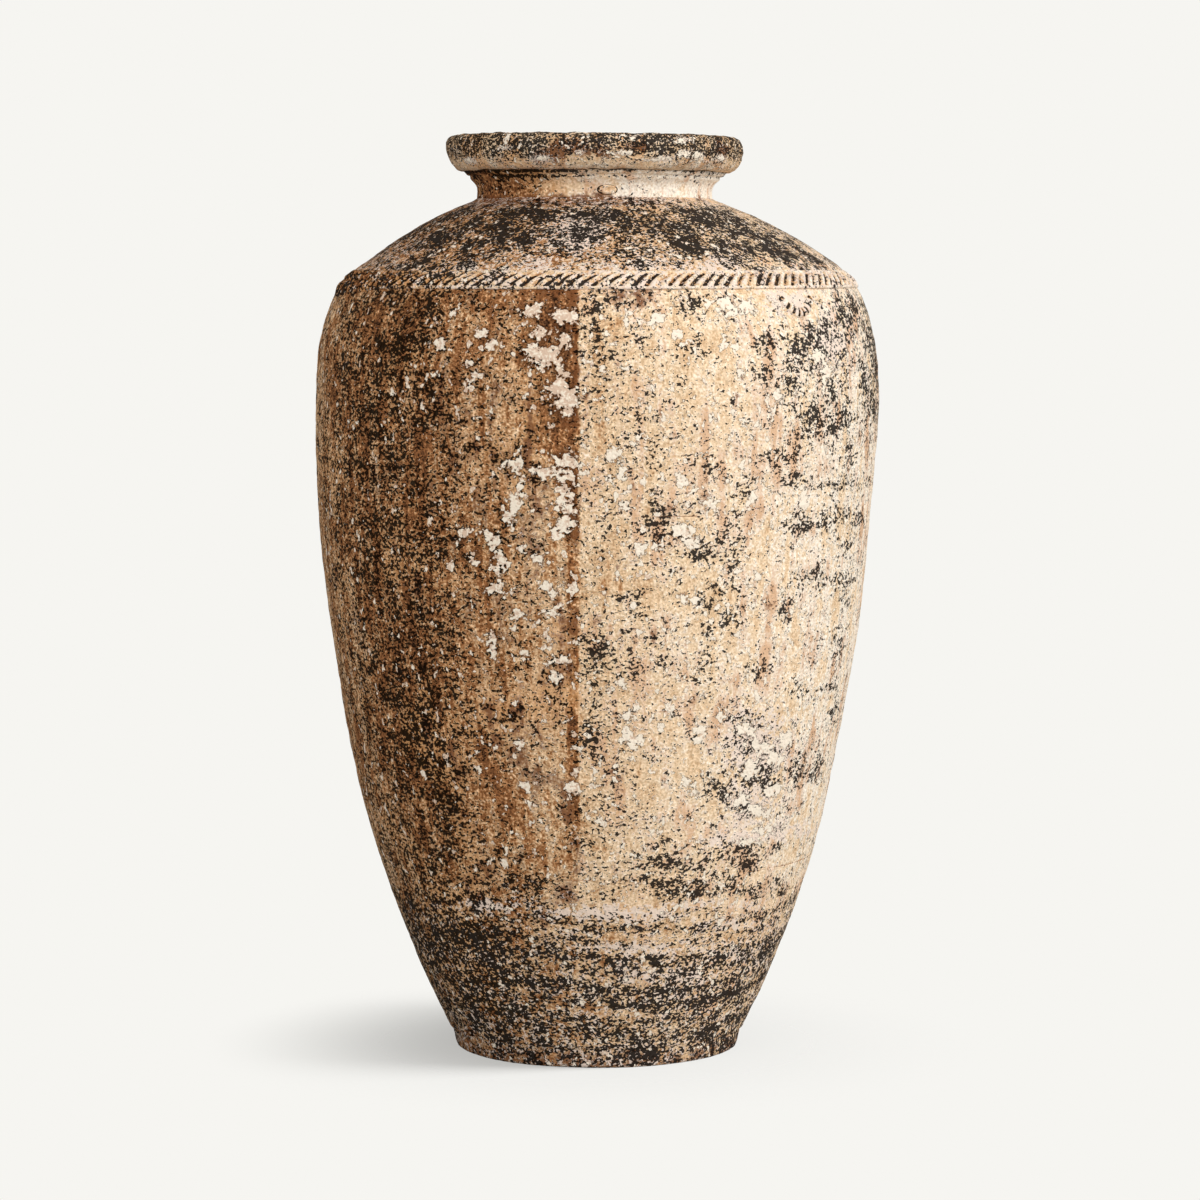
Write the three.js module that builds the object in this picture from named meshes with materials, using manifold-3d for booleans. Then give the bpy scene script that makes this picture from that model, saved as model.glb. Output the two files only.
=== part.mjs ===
// Tall terracotta storage jar, raised by hand in lifts on a flat foot slab, closed by a domed
// shoulder, a collar neck and a rolled rim, with a notched rope cordon, a swag strip and a pellet
// pressed on afterwards. Millimetres, +Z up: the jar stands on z = 0 and faces -Y.
import * as THREE from 'three';
import { mergeVertices } from 'three/addons/utils/BufferGeometryUtils.js';
import Module from 'manifold-3d';

const wasm = await Module();
wasm.setup();

// Facets round the jar, round the bed of an applied piece and up the shoulder
const SEGMENTS = 48;
const BED_SEGMENTS = 96;
const DOME_STEPS = 5;

// Clay walls and the thin layer of slip that lutes one piece to the next
const WALL = 12;
const NECK_WALL = 11;
const LUTE_GAP = 0.3;
const SCARF = 8;

// Foot slab: it spreads from the floor up to its top edge, where the wall stands out over it by a ledge
const FOOT_HEIGHT = 20;
const FOOT_SPREAD = 7;
const FOOT_LEDGE = 2.5;
const FOOT_EDGE = 3;

// Wall lifts: the height of each and the outer radius at its top
const SEAT_RADIUS = 143.5;
const FIRST_LIFT = 170;
const FIRST_TOP_RADIUS = 211;
const SECOND_LIFT = 160;
const SECOND_TOP_RADIUS = 246;
const THIRD_LIFT = 180;
const THIRD_TOP_RADIUS = 267;
const FOURTH_LIFT = 216;
const BELLY_RISE = 92;
const BELLY_RADIUS = 271;
const EDGE_RADIUS = 242;

// Lean of the wall where it leaves the foot and where it meets the shoulder, radius per height
const FOOT_FLARE = 0.5;
const EDGE_LEAN = 0.68;

// Domed shoulder: its rise and how far its curve stands above a straight cone
const SHOULDER_RISE = 73;
const SHOULDER_CROWN = 8;

// Collar neck: straight part, flare under the rim, their blend and the turned groove in the flare
const NECK_RADIUS = 113.5;
const NECK_STRAIGHT = 14;
const NECK_FLARE = 13;
const NECK_BLEND = 2.4;
const GROOVE_RISE = 7.8;
const GROOVE_WIDTH = 3;
const GROOVE_DEPTH = 1.6;

// Rolled rim, and how much wider than the neck its bore is at the seat and at the mouth
const RIM_RADIUS = 142.8;
const RIM_HEIGHT = 34;
const RIM_CREST = 10;
const RIM_LIP = 8;
const THROAT_SPREAD = 1.5;
const MOUTH_SPREAD = 7.5;

// Rope cordon: a strip laid in a rebate of the shoulder edge, with a lip below and dying away above
const CORDON_DROP = 10.5;
const CORDON_RISE = 5.5;
const CORDON_REBATE = 3.4;
const CORDON_PROUD = 0.9;
const CORDON_LIP = 2.2;
const CORDON_LIP_PROUD = 1.1;
const CORDON_LIP_TAPER = 0.2;
const CORDON_ROUND = 0.5;
const CORDON_HEAD_PROUD = 0.5;

// Notches of the cordon, pressed with a slanting three-sided stick
const NOTCH_COUNT = 138;
const NOTCH_LENGTH = 10;
const NOTCH_DEPTH = 1.9;
const NOTCH_SLANT = 33;
const NOTCH_STICK = 3.4;

// Swag strip: a short notched strip hung in a loop, with bare clay between it and the cordon
const SWAG_AZIMUTH = 46;
const SWAG_SPAN = 46;
const SWAG_SAG = 17;
const SWAG_WIDTH = 9;
const SWAG_PROUD = 3;
const SWAG_CLEAR = 0.9;
const SWAG_NOTCHES = 8;
const SWAG_NOTCH_LENGTH = 7.2;
const SWAG_NOTCH_DEPTH = 1.5;
const SWAG_STICK = 1.8;

// Pellet of clay pressed on the neck, and its middle below the flare
const BOSS_AZIMUTH = 6;
const BOSS_WIDTH = 20;
const BOSS_HEIGHT = 11;
const BOSS_PROUD = 3;
const BOSS_DROP = 5;

// Foot on the floor, and the heights of the joints from the foot up
const FOOT_RADIUS = SEAT_RADIUS - FOOT_LEDGE - FOOT_SPREAD;
const SECOND_BASE = FOOT_HEIGHT + FIRST_LIFT;
const THIRD_BASE = SECOND_BASE + SECOND_LIFT;
const FOURTH_BASE = THIRD_BASE + THIRD_LIFT;
const SHOULDER_BASE = FOURTH_BASE + FOURTH_LIFT;
const NECK_BASE = SHOULDER_BASE + SHOULDER_RISE;
const FLARE_BASE = NECK_BASE + NECK_STRAIGHT;
const RIM_BASE = FLARE_BASE + NECK_FLARE;
const NECK_BORE = NECK_RADIUS - NECK_WALL;
const FLARE_RADIUS = NECK_RADIUS + NECK_FLARE;

// Finishes: slip and stains over fired clay
const clay = (color, roughness) => new THREE.MeshStandardMaterial({ color, roughness, metalness: 0 });
const FINISH = {
  foot: clay('#a9754d', 0.93),
  wall: clay('#b8946e', 0.9),
  shoulder: clay('#b79b7b', 0.92),
  neck: clay('#cfb595', 0.9),
  rim: clay('#7b6656', 0.95),
  cordon: clay('#c6a68a', 0.92),
};

// Points of a section: radius and height
const pt = (r, z) => new THREE.Vector2(r, z);
const range = (from, to, steps) => Array.from({ length: steps + 1 })
  .map((_, i) => from + (to - from) * i / steps);
const arc = (r, z, wide, high, from, to, steps) => range(from, to, steps)
  .map((a) => THREE.MathUtils.degToRad(a))
  .map((a) => pt(r + wide * Math.cos(a), z + high * Math.sin(a)));
const moved = (point, distance) => point.at.clone().addScaledVector(point.normal, distance);

// Outline of the wall: a smooth line through the joints, level at the belly
const stations = [
  { z: FOOT_HEIGHT, r: SEAT_RADIUS, lean: FOOT_FLARE },
  { z: SECOND_BASE, r: FIRST_TOP_RADIUS },
  { z: THIRD_BASE, r: SECOND_TOP_RADIUS },
  { z: FOURTH_BASE, r: THIRD_TOP_RADIUS },
  { z: FOURTH_BASE + BELLY_RISE, r: BELLY_RADIUS, lean: 0 },
  { z: SHOULDER_BASE, r: EDGE_RADIUS, lean: -EDGE_LEAN },
];
stations.forEach((s, i) => {
  if (s.lean !== undefined) return;
  const below = stations[i - 1];
  const above = stations[i + 1];
  const under = s.z - below.z;
  const over = above.z - s.z;
  s.lean = ((s.r - below.r) / under * over + (above.r - s.r) / over * under) / (under + over);
});

// Point of the wall's outside at a height, with its outward normal
function wallAt(z) {
  const top = stations.length - 1;
  let i = 0;
  while (i < top - 1 && z > stations[i + 1].z) i += 1;
  const a = stations[i];
  const b = stations[i + 1];
  const h = b.z - a.z;
  const t = THREE.MathUtils.clamp((z - a.z) / h, 0, 1);
  const r = (2 * t ** 3 - 3 * t ** 2 + 1) * a.r + (t ** 3 - 2 * t ** 2 + t) * h * a.lean
    + (3 * t ** 2 - 2 * t ** 3) * b.r + (t ** 3 - t ** 2) * h * b.lean;
  const lean = 6 * (t - t ** 2) * (b.r - a.r) / h + (3 * t ** 2 - 4 * t + 1) * a.lean
    + (3 * t ** 2 - 2 * t) * b.lean;
  return { at: pt(r, z), normal: pt(1, -lean).normalize() };
}

// Outline of the shoulder, from its edge up to the neck
const crownRise = SHOULDER_RISE / 2 + 2 * SHOULDER_CROWN;
const dome = new THREE.QuadraticBezierCurve(
  pt(EDGE_RADIUS, SHOULDER_BASE),
  pt((EDGE_RADIUS + NECK_RADIUS) / 2, SHOULDER_BASE + crownRise),
  pt(NECK_RADIUS, NECK_BASE),
);
function domeAt(t) {
  const along = dome.getTangent(t);
  return { at: dome.getPoint(t), normal: pt(along.y, -along.x) };
}

// How far along its curve the shoulder has risen by a height
const domeShare = (rise) => rise
  / (crownRise + Math.sqrt(crownRise ** 2 + (SHOULDER_RISE - 2 * crownRise) * rise));

// Mitre where the wall meets the shoulder, halfway between their two normals
const mitre = {
  at: pt(EDGE_RADIUS, SHOULDER_BASE),
  normal: wallAt(SHOULDER_BASE).normal.add(domeAt(0).normal).normalize(),
};

// Rebate for the cordon: the edge is cut back from the foot of the strip to its head
const cordonFoot = { at: wallAt(SHOULDER_BASE - CORDON_DROP).at, normal: mitre.normal };
const cordonHead = domeAt(domeShare(CORDON_RISE));
const cutEdge = moved(mitre, -CORDON_REBATE);

// Body turned from a section that closes on itself or on the axis, going up the outside
function turned(section, segments) {
  const geometry = new THREE.LatheGeometry(section, segments);
  geometry.rotateX(Math.PI / 2);
  return geometry;
}
const ring = (section) => turned([...section, section[0].clone()], SEGMENTS);

function solid(geometry) {
  const bare = geometry.clone();
  bare.deleteAttribute('normal');
  bare.deleteAttribute('uv');
  const welded = mergeVertices(bare, 1e-4);
  return new wasm.Manifold(new wasm.Mesh({
    numProp: 3,
    vertProperties: new Float32Array(welded.attributes.position.array),
    triVerts: new Uint32Array(welded.index.array),
  }));
}

function surface(body) {
  const mesh = body.getMesh();
  const geometry = new THREE.BufferGeometry();
  geometry.setAttribute('position', new THREE.BufferAttribute(mesh.vertProperties, 3));
  geometry.setIndex(new THREE.BufferAttribute(mesh.triVerts, 1));
  geometry.computeVertexNormals();
  return geometry;
}

function piece(name, geometry, material) {
  const mesh = new THREE.Mesh(geometry, material);
  mesh.name = name;
  return mesh;
}

const jar = new THREE.Group();
jar.name = 'terracotta_jar';

// Foot slab: a thick disc, its rounded edge standing on the flat underside
const footSection = [
  pt(0, 0),
  ...arc(FOOT_RADIUS, FOOT_EDGE, FOOT_EDGE, FOOT_EDGE, -90, 0, 2),
  pt(FOOT_RADIUS + FOOT_SPREAD, FOOT_HEIGHT),
  pt(0, FOOT_HEIGHT),
];
jar.add(piece('foot_slab', turned(footSection, SEGMENTS), FINISH.foot));

// One lift of the wall; its joints are scarfed, higher inside than outside, unless cut square
function lift(name, base, top, baseScarf, topScarf, steps) {
  const outside = range(base + LUTE_GAP, top, steps).map((z) => wallAt(z).at);
  const inside = range(top + topScarf, base + LUTE_GAP + baseScarf, steps)
    .map((z) => moved(wallAt(z), -WALL));
  return { name, outside, inside };
}

// Four wall lifts; the first stands square on the slab, the last is mitred to the shoulder
const first = lift('first_lift', FOOT_HEIGHT, SECOND_BASE, 0, SCARF, 4);
first.inside.push(pt(first.inside[first.inside.length - 1].x, FOOT_HEIGHT + LUTE_GAP));
const fourth = lift('fourth_lift', FOURTH_BASE, SHOULDER_BASE, SCARF, 0, 7);
fourth.outside.splice(-1, 1, cordonFoot.at, cutEdge);
fourth.inside[0] = moved(mitre, -WALL);
const lifts = [
  first,
  lift('second_lift', SECOND_BASE, THIRD_BASE, SCARF, SCARF, 3),
  lift('third_lift', THIRD_BASE, FOURTH_BASE, SCARF, SCARF, 3),
  fourth,
];
lifts.forEach(({ name, outside, inside }) => {
  jar.add(piece(name, ring([...outside, ...inside]), FINISH.wall));
});

// Domed shoulder: mitred on the wall, with a level seat for the neck round its opening
const uphill = pt(-mitre.normal.y, mitre.normal.x).multiplyScalar(LUTE_GAP);
const domeSteps = range(0, 1, DOME_STEPS);
const domeOutside = domeSteps.map((t) => domeAt(t).at);
domeOutside.splice(0, 1, cutEdge.clone().add(uphill), cordonHead.at);
const domeInside = domeSteps.map((t) => moved(domeAt(t), -WALL)).reverse();
domeInside[domeInside.length - 1] = moved(mitre, -WALL).add(uphill);
const domeSection = [
  ...domeOutside,
  pt(NECK_BORE, NECK_BASE),
  pt(NECK_BORE, domeInside[0].y),
  ...domeInside,
];
jar.add(piece('shoulder', ring(domeSection), FINISH.shoulder));

// Collar neck: straight, then flaring under the rim with one turned groove
const seat = NECK_BASE + LUTE_GAP;
const flareAt = (rise) => pt(NECK_RADIUS + rise, FLARE_BASE + rise);
const neckOutside = [
  pt(NECK_RADIUS, seat),
  pt(NECK_RADIUS, FLARE_BASE - NECK_BLEND),
  flareAt(NECK_BLEND),
  flareAt(GROOVE_RISE - GROOVE_WIDTH / 2),
  flareAt(GROOVE_RISE).add(pt(-GROOVE_DEPTH, GROOVE_DEPTH).multiplyScalar(Math.SQRT1_2)),
  flareAt(GROOVE_RISE + GROOVE_WIDTH / 2),
  flareAt(NECK_FLARE),
];
const throat = NECK_BORE + THROAT_SPREAD;
const neckSection = [...neckOutside, pt(throat, RIM_BASE), pt(NECK_BORE, FLARE_BASE), pt(NECK_BORE, seat)];
jar.add(piece('neck', ring(neckSection), FINISH.neck));

// Rolled rim: full round below, tighter at the crest, falling back to the mouth
const rimSeat = RIM_BASE + LUTE_GAP;
const rimTop = RIM_BASE + RIM_HEIGHT;
const crestBase = rimTop - RIM_CREST;
const lipMiddle = NECK_BORE + MOUTH_SPREAD + RIM_LIP;
const rimSection = [
  ...arc(FLARE_RADIUS, crestBase, RIM_RADIUS - FLARE_RADIUS, crestBase - rimSeat, -90, 0, 5),
  ...arc(RIM_RADIUS - RIM_CREST, crestBase, RIM_CREST, RIM_CREST, 22.5, 90, 3),
  ...arc(lipMiddle, rimTop - RIM_LIP, RIM_LIP, RIM_LIP, 90, 180, 3),
  pt(throat, rimSeat),
];
jar.add(piece('rolled_rim', ring(rimSection), FINISH.rim));

// Three-sided stick with one edge towards the clay, and the same stick pressed in at a point of a
// section: turned round the jar, leaning with the face it marks, slanted on it and held off it
const stick = (radius, length) => new THREE.CylinderGeometry(radius, radius, length, 3).rotateY(Math.PI);
const turn = new THREE.Group();
const face = new THREE.Group();
const hold = new THREE.Group();
turn.add(face);
face.add(hold);
function pressed(tool, point, azimuth, slant, held) {
  turn.rotation.z = azimuth;
  face.position.set(0, -point.at.x, point.at.y);
  face.rotation.x = Math.atan2(point.normal.x, point.normal.y);
  hold.position.z = held;
  hold.rotation.z = -slant;
  turn.updateMatrixWorld(true);
  return solid(tool.clone().applyMatrix4(hold.matrixWorld));
}

// Rope cordon: a strip bedded in its rebate, thick over the edge and thin where it dies away
const cordonBed = moved(cordonFoot, LUTE_GAP);
const lipOuter = cordonBed.x + CORDON_LIP_PROUD;
const lipTop = pt(lipOuter - CORDON_LIP_TAPER, cordonBed.y + CORDON_LIP);
const ridge = moved(mitre, LUTE_GAP + CORDON_PROUD);
const cordonSection = [
  cordonBed,
  pt(lipOuter - CORDON_ROUND, cordonBed.y),
  pt(lipOuter, cordonBed.y + CORDON_ROUND),
  lipTop,
  ridge,
  moved(cordonHead, LUTE_GAP + CORDON_HEAD_PROUD),
  moved(cordonHead, LUTE_GAP),
  moved(mitre, LUTE_GAP - CORDON_REBATE),
];

// The notched face runs from the lip to the ridge, and every notch is one slanting cut in it
const notched = ridge.clone().sub(lipTop);
const notchPoint = { at: lipTop.clone().lerp(ridge, 0.5), normal: pt(notched.y, -notched.x) };
const notchStick = stick(NOTCH_STICK, NOTCH_LENGTH);
const notchSlant = THREE.MathUtils.degToRad(NOTCH_SLANT);
let cordon = solid(ring(cordonSection));
for (let i = 0; i < NOTCH_COUNT; i += 1) {
  const azimuth = 2 * Math.PI * (i + 0.5) / NOTCH_COUNT;
  cordon = cordon.subtract(pressed(notchStick, notchPoint, azimuth, notchSlant, NOTCH_STICK - NOTCH_DEPTH));
}
jar.add(piece('rope_cordon', surface(cordon), FINISH.cordon));

// Bed that an applied piece is pressed on: the outside it sits on, grown by the slip layer
function bed(outside) {
  const grown = outside.map((p) => pt(p.x + LUTE_GAP, p.y));
  const section = [pt(0, grown[0].y), ...grown, pt(0, grown[grown.length - 1].y)];
  return solid(turned(section, BED_SEGMENTS));
}

// Swag strip: a round strand laid in a loop on the wall, with upright notches along its length
const swagTop = cordonFoot.at.y - LUTE_GAP - SWAG_CLEAR - SWAG_WIDTH / 2;
const swagSunk = SWAG_PROUD - SWAG_WIDTH / 2;
function swagAt(u) {
  const z = swagTop - SWAG_SAG * (1 - u ** 2);
  const r = wallAt(z).at.x;
  return { azimuth: u * SWAG_SPAN / 2 / r, reach: r + swagSunk, z };
}
const onWall = ({ azimuth, reach, z }) => new THREE.Vector3(
  reach * Math.sin(azimuth),
  -reach * Math.cos(azimuth),
  z,
);
const loop = new THREE.CatmullRomCurve3(range(-1, 1, 8).map(swagAt).map(onWall));
const strand = new THREE.Shape().absarc(0, 0, SWAG_WIDTH / 2, 0, 2 * Math.PI);
const swagRope = new THREE.ExtrudeGeometry(strand, {
  steps: 12, curveSegments: 8, bevelEnabled: false, extrudePath: loop,
});
const swagBed = bed(range(swagTop - 2 * SWAG_SAG - SWAG_WIDTH, SHOULDER_BASE, 8).map((z) => wallAt(z).at));
const swagStick = stick(SWAG_STICK, SWAG_NOTCH_LENGTH);
const swagHeld = SWAG_WIDTH / 2 + SWAG_STICK - SWAG_NOTCH_DEPTH;
let swag = solid(swagRope).subtract(swagBed);
for (let i = 0; i < SWAG_NOTCHES; i += 1) {
  const { azimuth, reach, z } = swagAt((2 * i + 1) / SWAG_NOTCHES - 1);
  const point = { at: pt(reach, z), normal: wallAt(z).normal };
  swag = swag.subtract(pressed(swagStick, point, azimuth, 0, swagHeld));
}
const swagPlace = new THREE.Group();
swagPlace.name = 'swag_place';
swagPlace.rotation.z = THREE.MathUtils.degToRad(SWAG_AZIMUTH);
swagPlace.add(piece('swag_strip', surface(swag), FINISH.cordon));
jar.add(swagPlace);

// Pellet: a flattened lump pressed on the front of the neck
const lump = new THREE.SphereGeometry(1, 16, 8);
lump.scale(BOSS_WIDTH / 2, BOSS_PROUD + LUTE_GAP, BOSS_HEIGHT / 2);
lump.translate(0, -NECK_RADIUS, FLARE_BASE - BOSS_DROP);
const boss = solid(lump).subtract(bed(neckOutside));
const bossPlace = new THREE.Group();
bossPlace.name = 'boss_place';
bossPlace.rotation.z = THREE.MathUtils.degToRad(BOSS_AZIMUTH);
bossPlace.add(piece('neck_boss', surface(boss), FINISH.neck));
jar.add(bossPlace);

export default jar;
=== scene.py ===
"""Looks of a tall weathered terracotta storage jar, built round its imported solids."""

import math

import bpy
import numpy as np
from bpy.props import FloatProperty, FloatVectorProperty, IntProperty, PointerProperty
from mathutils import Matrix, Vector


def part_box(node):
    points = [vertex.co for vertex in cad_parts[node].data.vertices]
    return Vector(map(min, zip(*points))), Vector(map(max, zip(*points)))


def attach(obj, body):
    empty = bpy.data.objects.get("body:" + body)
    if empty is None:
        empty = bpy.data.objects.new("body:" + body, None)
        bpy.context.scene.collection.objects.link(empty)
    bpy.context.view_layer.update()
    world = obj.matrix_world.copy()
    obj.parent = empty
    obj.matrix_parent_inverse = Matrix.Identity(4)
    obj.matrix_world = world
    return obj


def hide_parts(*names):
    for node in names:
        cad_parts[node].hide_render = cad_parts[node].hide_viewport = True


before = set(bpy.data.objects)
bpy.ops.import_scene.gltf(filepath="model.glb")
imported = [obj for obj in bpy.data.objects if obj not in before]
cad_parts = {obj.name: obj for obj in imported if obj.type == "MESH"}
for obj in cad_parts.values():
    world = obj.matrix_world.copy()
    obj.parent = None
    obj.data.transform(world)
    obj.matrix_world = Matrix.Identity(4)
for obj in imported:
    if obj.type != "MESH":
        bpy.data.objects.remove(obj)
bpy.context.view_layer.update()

bl_info = {
    "name": "Terracotta jar",
    "version": (1, 0, 0),
    "blender": (4, 5, 0),
    "location": "View3D > Sidebar > Jar",
    "description": "Builds a hand-raised terracotta storage jar with its weathered slip",
    "category": "Object",
}

# Wall lifts from the foot up
LIFTS = ("first_lift", "second_lift", "third_lift", "fourth_lift")

# One millimetre, and the sides of the grid that the marks on the front are placed on
MM = 0.001
GRID = 1200.0

# Width of the camera's film in mm
FILM = 36.0

# Points closer than this are one point, and faces that meet at more than this angle keep a sharp edge
CLOSE = 0.01 * MM
SHARP = math.radians(55)

# Noise lies close about its middle, so it is stretched by this to reach from about -1 to 1
STRETCH = 9.0

# Steps between two points of a smooth line, spacing of a close line, and of the points inside the jar
SPLINE_STEPS = 24
CLOSE_ROW = 0.4 * MM
INSIDE_ROW = 30 * MM

# Height over which the lean of the neck sets in, and how much lumpier the rim is than the wall
TILT_RISE = 30 * MM
RIM_LUMP = 3.0

# Cordon's section, out and up: foot, lip and ridge from the wall's upper edge, swell from the middle of lip
# and ridge, head from the shoulder's edge, and the unseen side from the last and the first point
CORDON_FOOT = np.array([(-2.5, 0.6), (0.9, 0.1), (1.7, 1.0)]) * MM
CORDON_LIP = np.array([1.6, 2.6]) * MM
CORDON_SWELL = np.array([0.6, 0.6]) * MM
CORDON_RIDGE = np.array([-5.4, 11.4]) * MM
CORDON_HEAD = np.array([(0.6, 0.7), (-3.0, 1.4)]) * MM
CORDON_UNDER = np.array([0.0, -5.0]) * MM
CORDON_BEHIND = np.array([-4.0, 3.0]) * MM
CORDON_ROW = 0.8 * MM

# Lean of a cordon notch along its length, half its width as a share of the notches' spacing, faces across
# it, how far it reaches above the shoulder's edge, and over what height it fades out below and above
NOTCH_LEAN = -0.22
NOTCH_HALF = 0.42
NOTCH_FACES = 14
NOTCH_TOP = 0.8 * MM
NOTCH_FADE_LOW = 1.8 * MM
NOTCH_FADE_HIGH = 2.5 * MM

# Points along the swag, sides of its round strip, and depth of its notches as a share of its height
SWAG_POINTS = 161
SWAG_SIDES = 32
SWAG_PRESS = 0.45

# Depth of the fingertip's dent as a share of the pellet's height
BOSS_DENT = 0.45

# Lights as degrees right of the front, degrees above the floor and degrees across the source
KEY_LIGHT = (72.0, 26.0, 50.0)
FRONT_LIGHT = (-12.0, 16.0, 60.0)
FLOOR_LIGHT = (78.0, 32.0, 25.0)

# Floor disc
FLOOR_RADIUS = 3.0
FLOOR_SIDES = 96

# Kinds of node that the trees use most, and settings that many of them share
MATH = "ShaderNodeMath"
VECTOR = "ShaderNodeVectorMath"
RANGE = "ShaderNodeMapRange"
MIX = "ShaderNodeMix"
TURN = "ShaderNodeVectorRotate"
SMOOTH = {"interpolation_type": "SMOOTHSTEP"}
COLOUR = {"out": 2, "data_type": "RGBA"}
ROUND_Z = {"rotation_type": "Z_AXIS"}


def linear(colour):
    """Linear colour of an sRGB hex colour."""
    parts = [int(colour[i:i + 2], 16) / 255 for i in (1, 3, 5)]
    return tuple(p / 12.92 if p <= 0.04045 else ((p + 0.055) / 1.055) ** 2.4 for p in parts)


class JarForm(bpy.types.PropertyGroup):
    """Sizes of the hand-made shape."""
    segments: IntProperty(name="Segments", description="Faces round the jar", default=704, min=64)
    row: FloatProperty(name="Row", description="Spacing of the wall's rows of faces",
                       default=2.4 * MM, unit="LENGTH")
    fine_row: FloatProperty(name="Fine row", description="Row spacing on foot, neck and rim",
                            default=1.5 * MM, unit="LENGTH")
    wobble: FloatProperty(name="Wobble", description="Unevenness of the hand-raised wall",
                          default=0.32 * MM, unit="LENGTH")
    wobble_size: FloatProperty(name="Wobble size", description="Length of one swell of the wall",
                               default=170 * MM, unit="LENGTH")
    ring: FloatProperty(name="Ring relief", description="Height of the smoothing rings",
                        default=0.22 * MM, unit="LENGTH")
    ring_pitch: FloatProperty(name="Ring pitch", description="Height of one smoothing ring",
                              default=22 * MM, unit="LENGTH")
    lump: FloatProperty(name="Lump relief", description="Height of small lumps and pits",
                        default=0.18 * MM, unit="LENGTH")
    lump_size: FloatProperty(name="Lump size", description="Width of a small lump or pit",
                             default=12 * MM, unit="LENGTH")
    fillet: FloatProperty(name="Fillet", description="Reach of the clay smoothed into the foot of the neck",
                          default=7 * MM, unit="LENGTH")
    tilt: FloatProperty(name="Tilt", description="Lean of the rim to the right",
                        default=math.radians(0.5), subtype="ANGLE")
    notches: IntProperty(name="Notches", description="Stick marks round the cordon", default=138, min=8)
    notch_depth: FloatProperty(name="Notch depth", description="Depth of a stick mark in the cordon",
                               default=3.0 * MM, unit="LENGTH")
    droop: FloatProperty(name="Cordon droop", description="How far the cordon's lip sags at the left",
                         default=10 * MM, unit="LENGTH")
    swag_azimuth: FloatProperty(name="Swag azimuth", description="Place of the swag, right of the front",
                                default=math.radians(46), subtype="ANGLE")
    swag_span: FloatProperty(name="Swag span", description="Width of the swag's loop",
                             default=46 * MM, unit="LENGTH")
    swag_sag: FloatProperty(name="Swag sag", description="Depth of the swag's loop",
                            default=17 * MM, unit="LENGTH")
    swag_width: FloatProperty(name="Swag width", description="Width of the swag's strip",
                              default=9 * MM, unit="LENGTH")
    swag_proud: FloatProperty(name="Swag height", description="How far the strip stands out of the wall",
                              default=3 * MM, unit="LENGTH")
    swag_notches: IntProperty(name="Swag notches", description="Stick marks along the swag",
                              default=8, min=2)
    boss_azimuth: FloatProperty(name="Pellet azimuth", description="Place of the pellet, right of the front",
                                default=math.radians(6), subtype="ANGLE")
    boss_width: FloatProperty(name="Pellet width", description="Width of the pellet on the neck",
                              default=20 * MM, unit="LENGTH")
    boss_proud: FloatProperty(name="Pellet height", description="How far the pellet stands out of the neck",
                              default=3.8 * MM, unit="LENGTH")


class JarFinish(bpy.types.PropertyGroup):
    """Colours of the slip, from the darkest stain to the palest, and of what lies on it."""
    burnt: FloatVectorProperty(name="Burnt slip", description="Darkest stain of the slip",
                               default=linear("#2a1a10"), subtype="COLOR")
    umber: FloatVectorProperty(name="Umber slip", description="Dark brown stain of the slip",
                               default=linear("#583a26"), subtype="COLOR")
    brown: FloatVectorProperty(name="Brown slip", description="Brown stain of the slip",
                               default=linear("#97633d"), subtype="COLOR")
    fawn: FloatVectorProperty(name="Fawn slip", description="Lightly stained slip",
                              default=linear("#bb8a5e"), subtype="COLOR")
    buff: FloatVectorProperty(name="Buff slip", description="Slip of the right half",
                              default=linear("#dcb890"), subtype="COLOR")
    cream: FloatVectorProperty(name="Cream slip", description="Clean pale slip",
                               default=linear("#eed2af"), subtype="COLOR")
    chalk: FloatVectorProperty(name="Chalk slip", description="Palest slip",
                               default=linear("#f7ecdc"), subtype="COLOR")
    rust: FloatVectorProperty(name="Rust", description="Rust runs and bare fired clay",
                              default=linear("#6f4024"), subtype="COLOR")
    worn: FloatVectorProperty(name="Worn slip", description="Pinkish slip that was rubbed thin",
                              default=linear("#ecd8c8"), subtype="COLOR")
    # Colour of the painted shadow at the raised edge of a lime flake
    halo: FloatVectorProperty(name="Flake edge", description="Painted shadow at the edge of a flake",
                              default=linear("#4a2f1d"), subtype="COLOR")
    lime: FloatVectorProperty(name="Lime", description="Lime flakes",
                              default=linear("#f4e6d2"), subtype="COLOR")
    tan: FloatVectorProperty(name="Tan flakes", description="Lime flakes on stained slip",
                             default=linear("#dabda4"), subtype="COLOR")
    soot: FloatVectorProperty(name="Soot", description="Soot and dark lichen on pale slip",
                              default=linear("#241e1a"), subtype="COLOR")
    tar: FloatVectorProperty(name="Tar", description="Soot on stained slip",
                             default=linear("#0a0502"), subtype="COLOR")
    ochre: FloatVectorProperty(name="Ochre", description="Warm tint of old spills on the slip",
                               default=linear("#d29a64"), subtype="COLOR")
    inside: FloatVectorProperty(name="Inside", description="Bare clay inside the jar",
                                default=linear("#9a6a47"), subtype="COLOR")


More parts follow.
